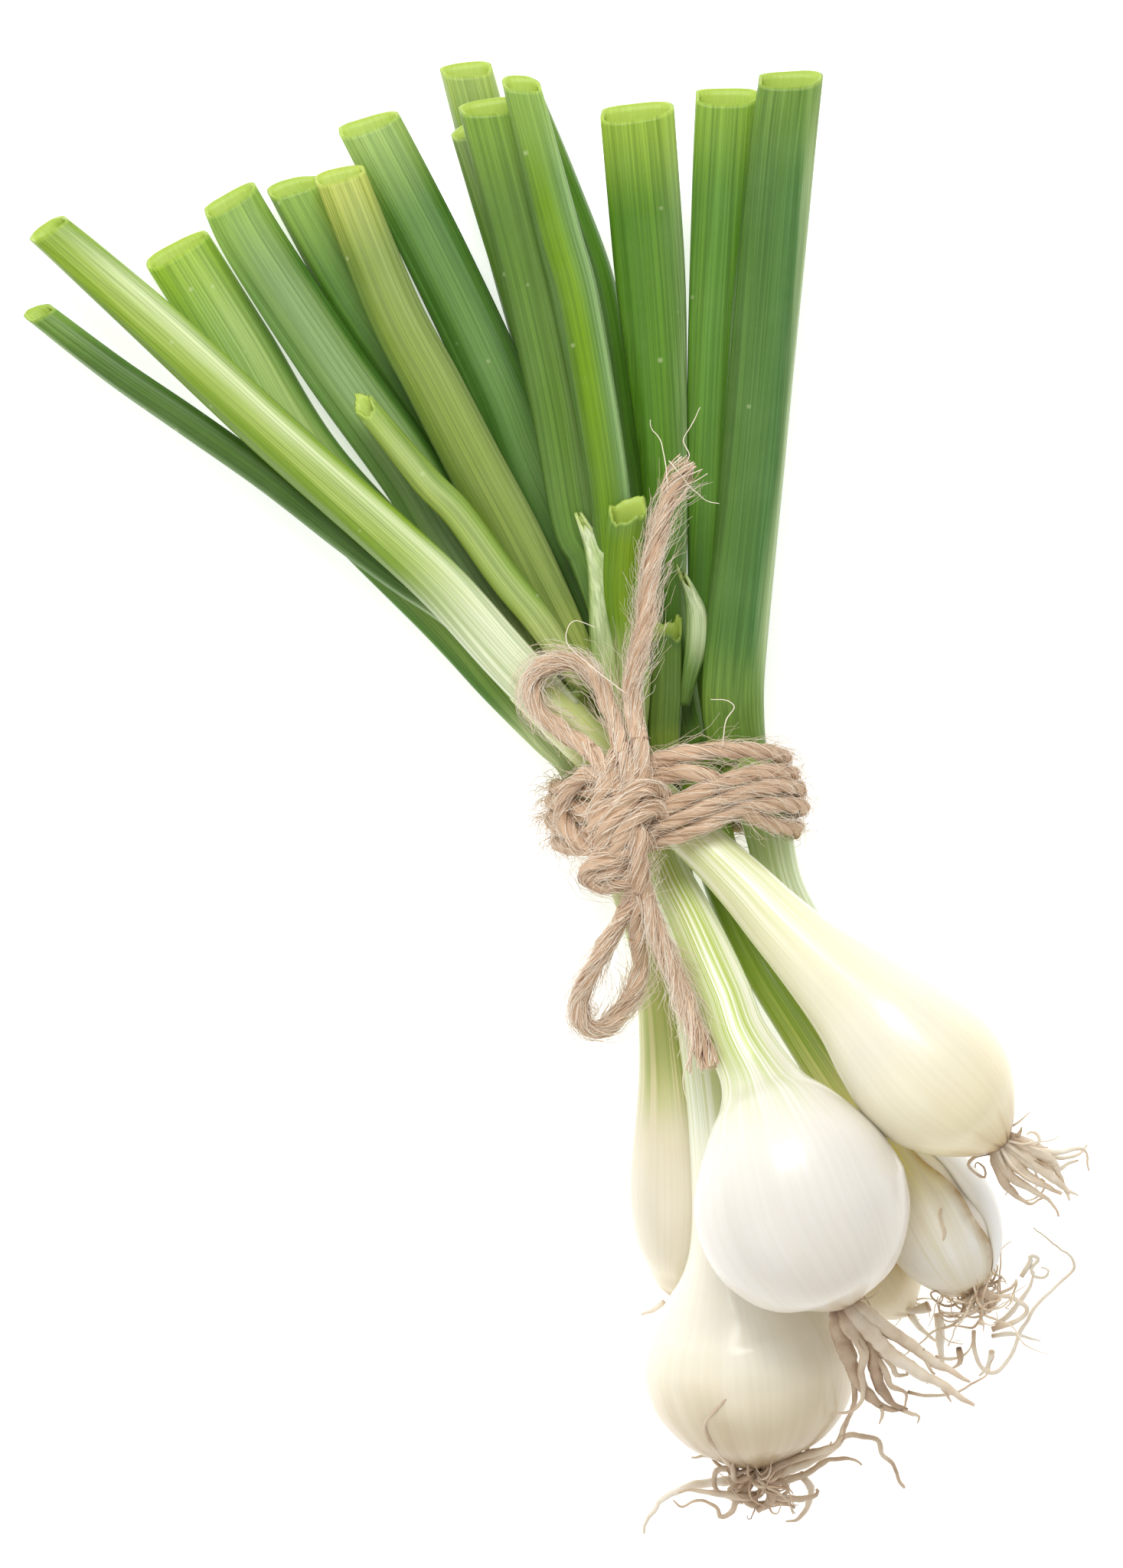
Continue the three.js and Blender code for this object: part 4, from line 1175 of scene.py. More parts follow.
        fade=0.15,
        tip="bed079",
    ),
    "leaf_6c": dict(
        line=[
            [-2, 24, 12.6, 2.4, 1.7], [-1.1, 33.1, 13.6, 3.1, 1.8], [1, 47, 14, 3.6, 1.8],
            [3.1, 63.7, 14, 4.1, 1.9], [4.6, 80.6, 13.8, 4.4, 1.9], [5.4, 97.8, 13, 4.4, 1.9],
            [6.2, 115.7, 12, 4.3, 1.9],
        ],
        across="618236 6b8a35 6d9134 7c9a48 65853e",
        base="a8b662",
        fade=0.2,
        tip="95aa70",
    ),
}

LEAF_SIDES = 40
LEAF_WALL = 0.55  # mm of leaf wall seen at the cut
LEAF_BORE = 12.0  # mm of the hollow that is modelled behind the cut


def leaf_material(name, across, base, fade, tip, seed):
    # Fresh onion leaf: a hollow green tube with a waxy satin bloom and fine parallel veins 0.5 mm
    # apart; paler where it was sheathed, yellow-green at the cut and pale inside.
    material, tree, shader = new_material(name)
    left_right = add(tree, "ShaderNodeMath", {
        0: add(tree, "ShaderNodeAttribute", attribute_name="across").outputs["Fac"], 1: 0.5, 2: 0.5
    }, operation="MULTIPLY_ADD").outputs[0]
    shift = add(tree, "ShaderNodeMath", {
        0: add(tree, "ShaderNodeMath", {
            0: lengthwise(tree, 3, 40, offset=seed), 1: 0.5
        }, operation="SUBTRACT"),
        1: 0.35,
    }, operation="MULTIPLY").outputs[0]
    left_right = add(tree, "ShaderNodeMath", {
        0: left_right, 1: shift
    }, operation="ADD", use_clamp=True).outputs[0]
    # The five colours across a leaf are its greens with painted lengthwise highlight stripes and painted shade on
    # its sides.
    tones = across.split()
    colour = add(tree, "ShaderNodeValToRGB", {
        0: left_right
    }, stops=list(zip((0.06, 0.28, 0.5, 0.72, 0.94), tones))).outputs[0]
    reach_share = add(tree, "ShaderNodeAttribute", attribute_name="reach").outputs["Fac"]
    sheath = add(tree, "ShaderNodeMapRange", {0: reach_share, 1: fade * 0.35, 2: fade, 3: 1.0, 4: 0.0},
                 interpolation_type="SMOOTHSTEP").outputs[0]
    sheath = add(tree, "ShaderNodeMath", {
        0: sheath,
        1: add(tree, "ShaderNodeMath", {
            0: lengthwise(tree, 0.9, 40, offset=seed + 3), 1: 1.2, 2: 0.4
        }, operation="MULTIPLY_ADD"),
    }, operation="MULTIPLY", use_clamp=True).outputs[0]
    colour = add(tree, "ShaderNodeMix", {
        0: sheath, 6: colour, 7: linear(base)
    }, data_type="RGBA").outputs[2]
    near_tip = add(tree, "ShaderNodeMapRange", {0: reach_share, 1: 0.82, 2: 1.0, 3: 0.0, 4: 0.75},
                   interpolation_type="SMOOTHSTEP").outputs[0]
    colour = add(tree, "ShaderNodeMix", {
        0: near_tip, 6: colour, 7: linear(tip)
    }, data_type="RGBA").outputs[2]
    broad = add(tree, "ShaderNodeValToRGB", {
        0: lengthwise(tree, 1.1, 70, 2.0, seed + 1)
    }, stops=[(0.34, "c4d0ae"), (0.5, "ffffff"), (0.66, "fffff0")]).outputs[0]
    colour = add(tree, "ShaderNodeMix", {
        0: 0.45, 6: colour, 7: broad
    }, data_type="RGBA", blend_type="MULTIPLY").outputs[2]
    fine = add(tree, "ShaderNodeValToRGB", {
        0: lengthwise(tree, 0.32, 60, 2.0, seed + 2)
    }, stops=[(0.4, "c6d2a4"), (0.6, "f6fadc")]).outputs[0]
    colour = add(tree, "ShaderNodeMix", {
        0: 0.8, 6: colour, 7: fine
    }, data_type="RGBA", blend_type="MULTIPLY").outputs[2]
    where = add(tree, "ShaderNodeTexCoord").outputs["Object"]
    bloom = add(tree, "ShaderNodeTexNoise", {
        "Vector": where, "Scale": 85.0, "Detail": 4.0, "Roughness": 0.65
    }).outputs["Fac"]
    bloom = add(tree, "ShaderNodeValToRGB", {0: bloom}, stops=[(0.42, 0.0), (0.75, 0.07)]).outputs[0]
    colour = add(tree, "ShaderNodeMix", {
        0: bloom, 6: colour, 7: linear("a3bb84")
    }, data_type="RGBA").outputs[2]
    wear = add(tree, "ShaderNodeTexVoronoi", {"Vector": where, "Scale": 150.0}).outputs["Distance"]
    fleck = add(tree, "ShaderNodeValToRGB", {0: wear}, stops=[(0.035, 1.0), (0.08, 0.0)]).outputs[0]
    colour = add(tree, "ShaderNodeMix", {
        0: add(tree, "ShaderNodeMath", {0: fleck, 1: 0.35}, operation="MULTIPLY"),
        6: colour,
        7: linear("cfd9a8"),
    }, data_type="RGBA").outputs[2]
    inside = add(tree, "ShaderNodeAttribute", attribute_name="inside").outputs["Fac"]
    colour = add(tree, "ShaderNodeMix", {
        0: inside, 6: colour, 7: linear("b9cf5a")
    }, data_type="RGBA").outputs[2]
    tree.links.new(colour, shader.inputs["Base Color"])
    shader.inputs["Roughness"].default_value = 0.4
    shader.inputs["Specular IOR Level"].default_value = 0.32
    shader.inputs["Subsurface Weight"].default_value = 0.12
    shader.inputs["Subsurface Radius"].default_value = (0.001, 0.0016, 0.0005)
    shader.inputs["Subsurface Scale"].default_value = 1.0
    veins = add(tree, "ShaderNodeMath", {
        0: lengthwise(tree, 0.4, 50, 2.0, seed + 2),
        1: add(tree, "ShaderNodeMath", {
            0: lengthwise(tree, 1.6, 60, 1.0, seed + 4), 1: 1.5
        }, operation="MULTIPLY"),
    }, operation="ADD").outputs[0]
    tree.links.new(
        add(tree, "ShaderNodeBump", {"Height": veins, "Distance": 0.16 * MM, "Strength": 0.6}).outputs[0],
        shader.inputs["Normal"],
    )
    return material


def make_leaf(name, line, across, base, fade, tip, end="cut", nodes=None):
    seed = float(sum(map(ord, name)) % 17)
    rng = random.Random(name)
    stations, rows = smooth_line(line, 1.0)
    tangent, side, upright = frames_along(rows)
    angle = np.linspace(0, 2 * np.pi, LEAF_SIDES, endpoint=False)
    flat = 0.72  # a superellipse between an oval and a flattened tube
    wide = np.sign(np.cos(angle)) * np.abs(np.cos(angle)) ** flat
    high = np.sign(np.sin(angle)) * np.abs(np.sin(angle)) ** flat
    ridge = 1 + 0.05 * np.sin(3 * angle + seed) * np.sin(stations[:, None] / 17 + seed)
    ridge = ridge + 0.02 * np.sin(7 * angle + seed)
    slant = rng.uniform(-1.1, 1.1)

    def ring(k, wall, notch):
        w, h = rows[k, 3] - wall, rows[k, 4] - wall
        points = rows[k, :3] + (w * wide * ridge[k])[:, None] * side[k]
        points = points + (h * high * ridge[k])[:, None] * upright[k]
        return points + notch[:, None] * tangent[k]

    count = len(rows)
    cut = slant * wide - 1.5 * high + 0.15 * np.sin(2 * angle + seed)
    if end == "ragged":
        teeth = np.array([rng.uniform(-1.0, 1.0) for _ in range(LEAF_SIDES)])
        cut = cut + 0.7 * np.sin(3 * angle + seed) + 0.35 * teeth
    ease = np.clip((np.arange(count) - (count - 7)) / 6, 0, 1)
    rings = [ring(k, 0, ease[k] * cut) for k in range(count)]
    depth = int(min(LEAF_BORE, count * 0.4))
    rings += [ring(k, LEAF_WALL, ease[k] * cut - 0.1) for k in range(count - 1, count - 1 - depth, -1)]
    inside = np.concatenate([np.zeros(count), np.full(1, 0.75), np.linspace(0.8, 0.55, depth - 1)])
    inside[count - 1] = 0.45
    order = list(range(count)) + list(range(count - 1, count - 1 - depth, -1))
    total = len(rings)
    points = np.vstack([np.concatenate(rings), rows[0, :3], rows[count - depth, :3]])
    middle = rows[order, 3]
    grain = np.stack([middle[:, None] * wide[None, :], rows[order, 4][:, None] * high[None, :],
                      np.tile(stations[order][:, None], (1, LEAF_SIDES))], axis=-1).reshape(-1, 3)
    grain = np.vstack([grain, [[0, 0, 0], [0, 0, stations[count - depth]]]])
    share = stations[order] / stations[-1]
    pole = total * LEAF_SIDES
    values = {
        "grain": grain,
        "across": np.concatenate([np.tile(np.cos(angle), total), [0, 0]]),
        "reach": np.concatenate([np.repeat(share, LEAF_SIDES), [0, share[-1]]]),
        "inside": np.concatenate([np.repeat(inside, LEAF_SIDES), [0, 0.55]]),
    }
    material = leaf_material(name + " waxy leaf", across, base, fade, tip, seed)
    piece = mesh_object(
        name + "_blade", points, tube_faces(total, LEAF_SIDES, pole, pole + 1), values, material
    )
    return finish_piece(piece, [name] if nodes is None else nodes)


for name, leaf in leaves.items():
    make_leaf(name, **leaf)


# ---------------------------------------------------------------- roots

def root_material():
    # Dried onion root: wrinkled beige cord, browner at the root plate and at dead tips.
    material, tree, shader = new_material("dried root")
    shade = add(tree, "ShaderNodeAttribute", attribute_name="shade").outputs["Fac"]
    where = add(tree, "ShaderNodeTexCoord").outputs["Object"]
    blotch = add(tree, "ShaderNodeTexNoise", {
        "Vector": where, "Scale": 240.0, "Detail": 3.0
    }).outputs["Fac"]
    tone = add(tree, "ShaderNodeMath", {
        0: shade,
        1: add(tree, "ShaderNodeMath", {
            0: add(tree, "ShaderNodeMath", {0: blotch, 1: 0.5}, operation="SUBTRACT"), 1: 0.8
        }, operation="MULTIPLY"),
    }, operation="ADD").outputs[0]
    stops = [(0.0, "5e4434"), (0.2, "937760"), (0.45, "c2a98e"), (0.7, "decdb4"), (1.0, "f0e8d8")]
    tree.links.new(
        add(tree, "ShaderNodeValToRGB", {0: tone}, stops=stops).outputs[0], shader.inputs["Base Color"]
    )
    shader.inputs["Roughness"].default_value = 0.62
    shader.inputs["Subsurface Weight"].default_value = 0.08
    shader.inputs["Subsurface Radius"].default_value = (0.0008, 0.0006, 0.0004)
    shader.inputs["Subsurface Scale"].default_value = 1.0
    wrinkle = add(tree, "ShaderNodeTexNoise", {
        "Vector": where, "Scale": 1500.0, "Detail": 2.0
    }).outputs["Fac"]
    tree.links.new(
        add(tree, "ShaderNodeBump", {
            "Height": wrinkle, "Distance": 0.12 * MM, "Strength": 0.7
        }).outputs[0],
        shader.inputs["Normal"],
    )
    return material


def root_tree():
    """Tapering wrinkled roots along guide lines; girth is a root's radius in mm."""
    sockets = {
        "Wobble": "Float",
        "Wobble scale": "Float",
        "Taper": "Float",
        "Seed": "Int",
        "Material": "Material",
    }
    tree, given, out = node_tree("roots", sockets)
    curve = add(tree, "GeometryNodeMeshToCurve", {"Mesh": given["Geometry"]}).outputs[0]
    even = add(tree, "GeometryNodeResampleCurve", {
        "Curve": curve, "Length": 0.0006
    }, mode="LENGTH").outputs[0]
    spline = tree.nodes.new("GeometryNodeSplineParameter")
    along = spline.outputs["Factor"]
    position = tree.nodes.new("GeometryNodeInputPosition").outputs[0]
    inputs = {"Vector": position, "Scale": given["Wobble scale"], "Detail": 1.5, "W": given["Seed"]}
    wander = add(tree, "ShaderNodeTexNoise", inputs, noise_dimensions="4D").outputs["Color"]
    wander = add(tree, "ShaderNodeVectorMath", {
        0: wander, 1: (0.5, 0.5, 0.5)
    }, operation="SUBTRACT").outputs[0]
    offset = add(tree, "ShaderNodeVectorMath", {
        0: wander,
        "Scale": add(tree, "ShaderNodeMath", {0: given["Wobble"], 1: along}, operation="MULTIPLY"),
    }, operation="SCALE").outputs[0]
    moved = add(tree, "GeometryNodeSetPosition", {"Geometry": even, "Offset": offset}).outputs[0]
    thin = add(tree, "ShaderNodeMath", {
        0: 1.0,
        1: add(tree, "ShaderNodeMath", {
            0: add(tree, "ShaderNodeMath", {0: along, 1: 1.5}, operation="POWER"), 1: given["Taper"]
        }, operation="MULTIPLY"),
    }, operation="SUBTRACT").outputs[0]
    swell = add(tree, "ShaderNodeTexNoise", {"Vector": position, "Scale": 700.0}).outputs["Fac"]
    swell = add(tree, "ShaderNodeMath", {0: swell, 1: 0.7, 2: 0.65}, operation="MULTIPLY_ADD").outputs[0]
    girth = add(tree, "ShaderNodeMath", {
        0: add(tree, "GeometryNodeInputNamedAttribute", {"Name": "girth"}, data_type="FLOAT"), 1: MM
    }, operation="MULTIPLY").outputs[0]
    thickness = add(tree, "ShaderNodeMath", {
        0: girth, 1: add(tree, "ShaderNodeMath", {0: thin, 1: swell}, operation="MULTIPLY")
    }, operation="MULTIPLY").outputs[0]
    close_tree(
        tree,
        strands_to_mesh(
            tree,
            moved,
            thickness,
            7,
            add(tree, "GeometryNodeInputNamedAttribute", {"Name": "loose"}, data_type="FLOAT").outputs[0],
        ),
        given["Material"],
        out,
    )
    return tree


def curly_root(rng, start, heading, length, radius, curl, tone, drop=0.0):
    """A thin root that wanders from start as it dries; its bending changes slowly along it."""
    position = Vector(start)
    direction = Vector(heading).normalized()
    axis = Vector([rng.gauss(0, 1) for _ in range(3)]).normalized()
    points = []
    steps = max(6, int(length / 0.8))
    for k in range(steps):
        points.append([*position, radius * (1 - 0.5 * k / steps), tone])
        axis = (axis + 0.35 * Vector([rng.gauss(0, 1) for _ in range(3)])).normalized()
        direction = (direction + axis.cross(direction) * curl * 0.8 + Vector((0, 0, -drop))).normalized()
        position = position + direction * 0.8
        if position.z < ROOT_FLOOR:
            position.z = ROOT_FLOOR
            direction.z = abs(direction.z) * 0.3
    return np.array(points)


def stout_root(rows, tone):
    """A root given as rows of [x, y, z, radius], browner where it leaves the root plate."""
    line = smooth_line(rows, 0.6)[1]
    share = np.linspace(0, 1, len(line))
    tones = tone + 0.12 - 0.45 * np.exp(-share * 14) - 0.12 * share**3
    return np.column_stack([line, tones])


root_brown = root_material()
roots = root_tree()
ROOT = {"Wobble": 0.0022, "Wobble scale": 260.0, "Taper": 0.55, "Material": root_brown}

# Roots listed one by one: (paleness, rows of [x, y, z, radius]).
root_rows = {
    "onion_1": [
        (0.62, [
            [-2.5, -84.9, 36.5, 1.1], [-1.1, -86.7, 36.6, 1.35], [0.9, -90.1, 36, 1.41],
            [3.9, -93.9, 35, 1.35], [6.4, -97.9, 34, 1.23], [9.1, -101.9, 33, 0.86],
            [11.3, -103.9, 32.5, 0.49],
        ]),
        (0.66, [
            [-3.4, -84.5, 36.5, 1.1], [-2.6, -87.4, 37, 1.47], [-0.8, -91.1, 36.5, 1.47],
            [1.4, -95.8, 35.5, 1.41], [4.4, -99.8, 34.5, 1.35], [7.6, -103.8, 33.5, 1.11],
            [10, -107.1, 33, 0.62],
        ]),
        (0.38, [
            [-4.6, -84.4, 36, 1.1], [-5.7, -88.2, 34.6, 1.6], [-5.7, -93, 33, 1.6],
            [-5.4, -98, 31.5, 1.48], [-3.8, -102.5, 30, 1.24], [-0.6, -104.9, 29, 0.74],
        ]),
        (0.3, [
            [-3.5, -86.3, 36.4, 0.98], [-1.9, -92.4, 34.5, 0.98], [-2.6, -96.8, 32.5, 1.35],
            [-2.5, -100.4, 31, 1.36], [-1.5, -103.5, 30, 0.86], [-0.1, -104.9, 29.5, 0.49],
        ]),
        (0.55, [
            [-4, -84.8, 36.6, 1.1], [-3.9, -88.7, 36.6, 1.35], [-3.1, -92.6, 35.4, 0.98],
            [-4.7, -95.8, 34, 0.74], [-5.3, -99, 33, 0.62], [-7.4, -101.4, 32, 0.49],
            [-11.5, -101.3, 31, 0.37],
        ]),
        (0.5, [
            [-1.5, -93.4, 34, 0.49], [0.4, -96.4, 33, 0.62], [0.8, -98.8, 32.4, 0.62],
            [2.3, -99.6, 32, 0.37],
        ]),
        (0.45, [
            [-2, -93.4, 34, 0.49], [-1, -97.3, 33, 0.62], [-0.9, -100.4, 32, 0.62],
            [0.8, -102.1, 31, 0.49], [-0.2, -104.2, 30.4, 0.37],
        ]),
        (0.5, [
            [-0.6, -104.5, 30, 0.37], [0.6, -105.8, 29.6, 0.37], [1.6, -106.3, 29.4, 0.37],
            [1.1, -107.5, 29, 0.25],
        ]),
        (0.5, [[-3.6, -102.7, 30.4, 0.37], [-3.6, -104.1, 30, 0.37], [-4.7, -105.2, 29.4, 0.25]]),
        (0.6, [[5.7, -95.9, 34.6, 0.49], [5.8, -98.6, 34, 0.49], [6.3, -100.7, 33.4, 0.37]]),
        (0.6, [[2.3, -98.4, 34, 0.49], [5.2, -100.5, 33, 0.37], [4.4, -101.7, 32.6, 0.31]]),
        (0.55, [[6.7, -102.7, 33.2, 0.43], [7, -104.4, 33, 0.37], [7, -106, 32.8, 0.25]]),
        (0.5, [
            [1.3, -102.2, 30, 0.31], [4.5, -104.1, 29.5, 0.31], [8.8, -105, 29, 0.25],
            [13.3, -104.4, 28, 0.25], [16.3, -101.7, 27, 0.19],
        ]),
        (0.4, [
            [-6.1, -96.9, 32, 0.49], [-7.3, -100.6, 30, 0.49], [-9.6, -103.9, 27, 0.43],
            [-11.5, -106.5, 24, 0.37],
        ]),
    ],
    "onion_2": [
        (0.62, [
            [30, -68, 39.5, 0.86], [32.3, -71, 39.2, 1.22], [35.4, -74.2, 38.6, 0.98],
            [35.9, -76.8, 38, 0.61], [36, -79.3, 37.6, 0.61], [36.2, -81.4, 37.2, 0.37],
        ]),
        (0.68, [
            [29, -68.5, 39.6, 0.85], [31.5, -72.4, 39.4, 1.22], [34.5, -76.8, 38.6, 1.1],
            [36.3, -79.4, 38, 0.61], [37.4, -81, 37.6, 0.37],
        ]),
        (0.6, [
            [28.4, -68.8, 39.4, 0.86], [29.7, -72.6, 39, 1.22], [32, -76.7, 38.2, 0.98],
            [35.3, -79.8, 37.6, 0.61],
        ]),
        (0.58, [
            [27.6, -69, 39, 0.86], [28.1, -73.4, 38.4, 0.98], [30.6, -77.2, 37.4, 0.73],
            [33.2, -80.7, 36.4, 0.49], [33.7, -83.4, 36, 0.37],
        ]),
        (0.52, [
            [27.3, -69.2, 38.6, 0.86], [27, -73.1, 38, 0.98], [27.9, -77.4, 37, 0.74],
            [29.6, -79.2, 36.4, 0.49], [32.4, -80.2, 36, 0.31],
        ]),
        (0.7, [
            [30.3, -67.9, 39, 0.73], [33.1, -71.1, 38.4, 0.98], [36.1, -73.2, 38, 0.61],
            [39.6, -73.8, 37, 0.49], [41.1, -75.2, 36.4, 0.37], [40.8, -78.2, 36, 0.37],
        ]),
        (0.75, [
            [30.8, -68.2, 38.6, 0.61], [33.8, -71.1, 37.4, 0.73], [36.4, -74.3, 36, 0.49],
            [39.9, -74.9, 35, 0.49], [41.9, -74.3, 34.4, 0.37],
        ]),
        (0.72, [
            [32.9, -72.9, 37, 0.61], [35.7, -76.1, 36, 0.49], [38.2, -75.8, 35.6, 0.49],
            [39.8, -75.6, 35.2, 0.37],
        ]),
        (0.5, [[31.1, -68.7, 39.6, 0.49], [32.1, -68, 39.8, 0.37], [32.4, -67.3, 40, 0.24]]),
        (0.7, [
            [32.4, -70, 39, 0.37], [34.2, -70.9, 39, 0.37], [34.7, -69.5, 39.2, 0.37],
            [34.2, -68.8, 39.2, 0.37], [33.3, -69, 39, 0.24],
        ]),
        (0.55, [
            [28.9, -69.9, 38, 0.49], [30.6, -75.7, 37, 0.37], [33.1, -76.7, 36.4, 0.31],
            [32.1, -79, 36, 0.25], [29.6, -78.6, 36, 0.25],
        ]),
        (0.45, [[27.3, -75.2, 37.6, 0.37], [28, -76.3, 37.4, 0.49], [28.4, -77.8, 37, 0.49]]),
        (0.42, [
            [26.3, -69.7, 39, 0.3], [24, -69.4, 39.4, 0.32], [22.3, -70.2, 39.6, 0.3],
            [23.2, -71.8, 39.2, 0.3], [24.4, -72.8, 39, 0.3], [24.8, -71.4, 39.4, 0.28],
            [23.7, -70.2, 39.8, 0.26], [23, -70.8, 39.4, 0.24],
        ]),
    ],
    "onion_3": [
        (0.5, [
            [-25.1, -108.2, 18, 0.88], [-20.6, -107.6, 19, 0.75], [-16.4, -107.6, 20, 0.75],
            [-13, -107.7, 21, 0.75], [-10.9, -106.8, 21.5, 0.62], [-8.4, -107.2, 21, 0.62],
            [-6, -109.3, 20, 0.62], [-5.6, -112, 19, 0.63], [-4.7, -114.6, 18, 0.63],
            [-5, -117.1, 17, 0.63], [-4.6, -118.4, 16.4, 0.5],
        ]),
        (0.55, [
            [-24.6, -109.3, 17, 1], [-20.5, -109.1, 17.6, 0.88], [-17.1, -108.9, 18.6, 0.75],
            [-12.8, -107.9, 20, 0.62], [-10.1, -105.2, 22, 0.62], [-8.1, -102.3, 25, 0.5],
            [-6.3, -98.9, 28, 0.5],
        ]),
        (0.55, [
            [-27.4, -111.8, 16, 0.75], [-30.9, -110.5, 15.4, 0.75], [-34.8, -108.6, 15, 0.63],
            [-37.3, -107.5, 15, 0.5], [-39.2, -106.6, 15, 0.38],
        ]),
        (0.4, [
            [-26.6, -107.6, 19, 0.63], [-29.7, -107.7, 19, 0.63], [-29.7, -105.6, 21, 0.62],
            [-28.8, -103.4, 23, 0.62],
        ]),
        (0.52, [
            [-29.5, -105.5, 20, 0.5], [-30.8, -101.2, 25.6, 0.5], [-31.6, -97.4, 29, 0.49],
            [-31, -95.6, 30.5, 0.49], [-28.9, -94.2, 32.2, 0.62], [-27.2, -93.4, 33, 0.62],
            [-25.5, -92.9, 33.8, 0.49],
        ]),
        (0.85, [
            [-28.8, -108.8, 12, 0.76], [-33.1, -107.9, 11, 0.88], [-37.5, -107.1, 10, 0.76],
            [-41.7, -107.6, 9, 0.76], [-45.1, -109.6, 8, 0.63], [-47.4, -112.3, 7, 0.51],
        ]),
        (0.5, [
            [-28.7, -106.2, 17, 0.5], [-31.8, -105.4, 16.6, 0.63], [-33.2, -106.6, 16, 0.63],
            [-33.3, -109.2, 15.4, 0.5],
        ]),
        (0.4, [
            [-26.3, -108, 17.6, 1], [-24.8, -111.3, 17, 1.13], [-26, -113.2, 16, 1.13],
            [-28.3, -114.4, 15.2, 0.88],
        ]),
        (0.45, [
            [-25.1, -109.2, 16.6, 0.88], [-24.1, -113, 16, 0.75], [-20.6, -114.6, 15.4, 0.75],
            [-17.7, -114.8, 15, 0.63], [-17.9, -113.9, 15, 0.5],
        ]),
        (0.5, [
            [-29.1, -109.4, 14, 0.63], [-31.2, -111.7, 13.4, 0.63], [-32.4, -113.1, 13, 0.5],
            [-34.5, -113.3, 13, 0.5], [-34.4, -111.4, 13, 0.38], [-36.5, -109.7, 13, 0.38],
            [-39.6, -109.5, 13, 0.38], [-40.7, -108.3, 13, 0.25],
        ]),
        (0.6, [
            [-19.6, -110.9, 14, 0.63], [-18.7, -114.1, 13, 0.63], [-20.2, -116.5, 12, 0.63],
            [-22.4, -118, 11, 0.51], [-24.3, -118.2, 10.4, 0.38],
        ]),
        (0.42, [
            [-26.9, -108.6, 16, 0.88], [-29.3, -110.6, 15, 0.88], [-28.4, -113.1, 14.6, 0.88],
            [-24.7, -114, 14, 0.76], [-22.2, -115.5, 13.4, 0.63],
        ]),
        (0.5, [
            [-25.1, -110.2, 15, 0.75], [-21.7, -111, 14.6, 0.75], [-18.8, -111.2, 14, 0.63],
            [-15, -110.4, 13.6, 0.63], [-11, -111.5, 13, 0.5], [-9.3, -113.4, 12.6, 0.38],
        ]),
        (0.48, [
            [-27.8, -109.4, 14, 0.76], [-31.1, -109.5, 13, 0.76], [-30.9, -111.7, 12.6, 0.76],
            [-27.2, -111.8, 12, 0.76], [-22.8, -112.6, 11.6, 0.63],
        ]),
        (0.35, [
            [-25.8, -108.8, 17.6, 0.75], [-24, -110.5, 18, 0.75], [-22.7, -110.4, 18, 0.63],
            [-22.5, -112.2, 17.4, 0.63], [-23.9, -113.1, 17, 0.5],
        ]),
        (0.7, [[-28.8, -105.1, 12, 0.5], [-32.3, -103.8, 10, 0.51], [-35.6, -102.6, 9, 0.32]]),
    ],
    "onion_4": [
        (0.85, [[-31, -77.8, 3, 0.51], [-33.7, -78.5, 2.6, 0.51], [-35.3, -78.5, 2, 0.38]]),
        (0.85, [[-28.8, -77.7, 3.4, 0.64], [-30.4, -79.1, 2.8, 0.64], [-32.5, -80.3, 2.2, 0.38]]),
    ],
    "onion_5": [
        (0.6, [
            [14.1, -89.6, 25, 0.43], [13.4, -86.1, 29.5, 0.43], [13.8, -83.2, 31.6, 0.43],
            [15.5, -80, 33, 0.43], [15.9, -77.2, 33.6, 0.43], [16.6, -75.7, 33.6, 0.37],
        ]),
        (0.8, [
            [15.1, -97.8, 20, 0.38], [14.1, -101.1, 19.4, 0.38], [14.4, -104.3, 19, 0.38],
            [16.3, -105.6, 19, 0.38], [19.7, -103.5, 19.6, 0.38], [22.4, -100.3, 20, 0.38],
            [26.3, -97.3, 20.6, 0.37], [29.9, -95.6, 21, 0.37], [33, -94.1, 21.6, 0.37],
            [33.9, -92.1, 22, 0.37], [32.3, -89.2, 22.6, 0.31], [30.1, -85.4, 23, 0.25],
        ]),
        (0.72, [
            [17.9, -98.5, 21, 0.5], [21.9, -98.5, 21.6, 0.44], [24.3, -97.5, 22, 0.44],
            [24, -96, 22.4, 0.44], [20.9, -93.5, 23, 0.44], [17.1, -91.5, 24, 0.44],
            [12.4, -89.4, 25, 0.43],
        ]),
        (0.35, [
            [17.2, -91, 24, 1], [19.1, -92.5, 24, 1], [19.3, -94.2, 23, 0.75], [18.1, -95.5, 22, 0.5],
        ]),
        (0.68, [[9.7, -91.8, 18, 1], [7.3, -91.9, 17.6, 0.88], [6.2, -91.1, 17.4, 0.88]]),
        (0.9, [
            [18.9, -98.6, 16, 0.5], [21.5, -98, 15.4, 0.5], [25.4, -95.7, 15, 0.5],
            [28, -92.9, 14.6, 0.38],
        ]),
        (0.9, [
            [25.6, -92.8, 15, 0.38], [27.9, -91, 15, 0.5], [28, -90, 15, 0.38], [29.5, -91, 15, 0.38],
            [27.7, -92.2, 15, 0.38], [27.7, -93.6, 15, 0.38], [29.4, -94.2, 15, 0.38],
            [30.2, -93.4, 15, 0.38], [29.4, -92.6, 15, 0.25],
        ]),
        (0.9, [
            [17.8, -100.4, 14, 0.38], [20.8, -101.2, 13.4, 0.5], [23.7, -102.7, 13, 0.38],
            [25.5, -104, 12.6, 0.25],
        ]),
        (0.75, [
            [7.8, -100, 17, 0.31], [9.9, -101.1, 17, 0.31], [12.7, -101.3, 17, 0.25],
            [14.6, -99.8, 17, 0.25],
        ]),
        (0.4, [
            [11.9, -99.8, 18, 0.5], [11.5, -101.7, 17.6, 0.63], [10.6, -102.6, 17.2, 0.38],
            [9.4, -102.5, 17, 0.25],
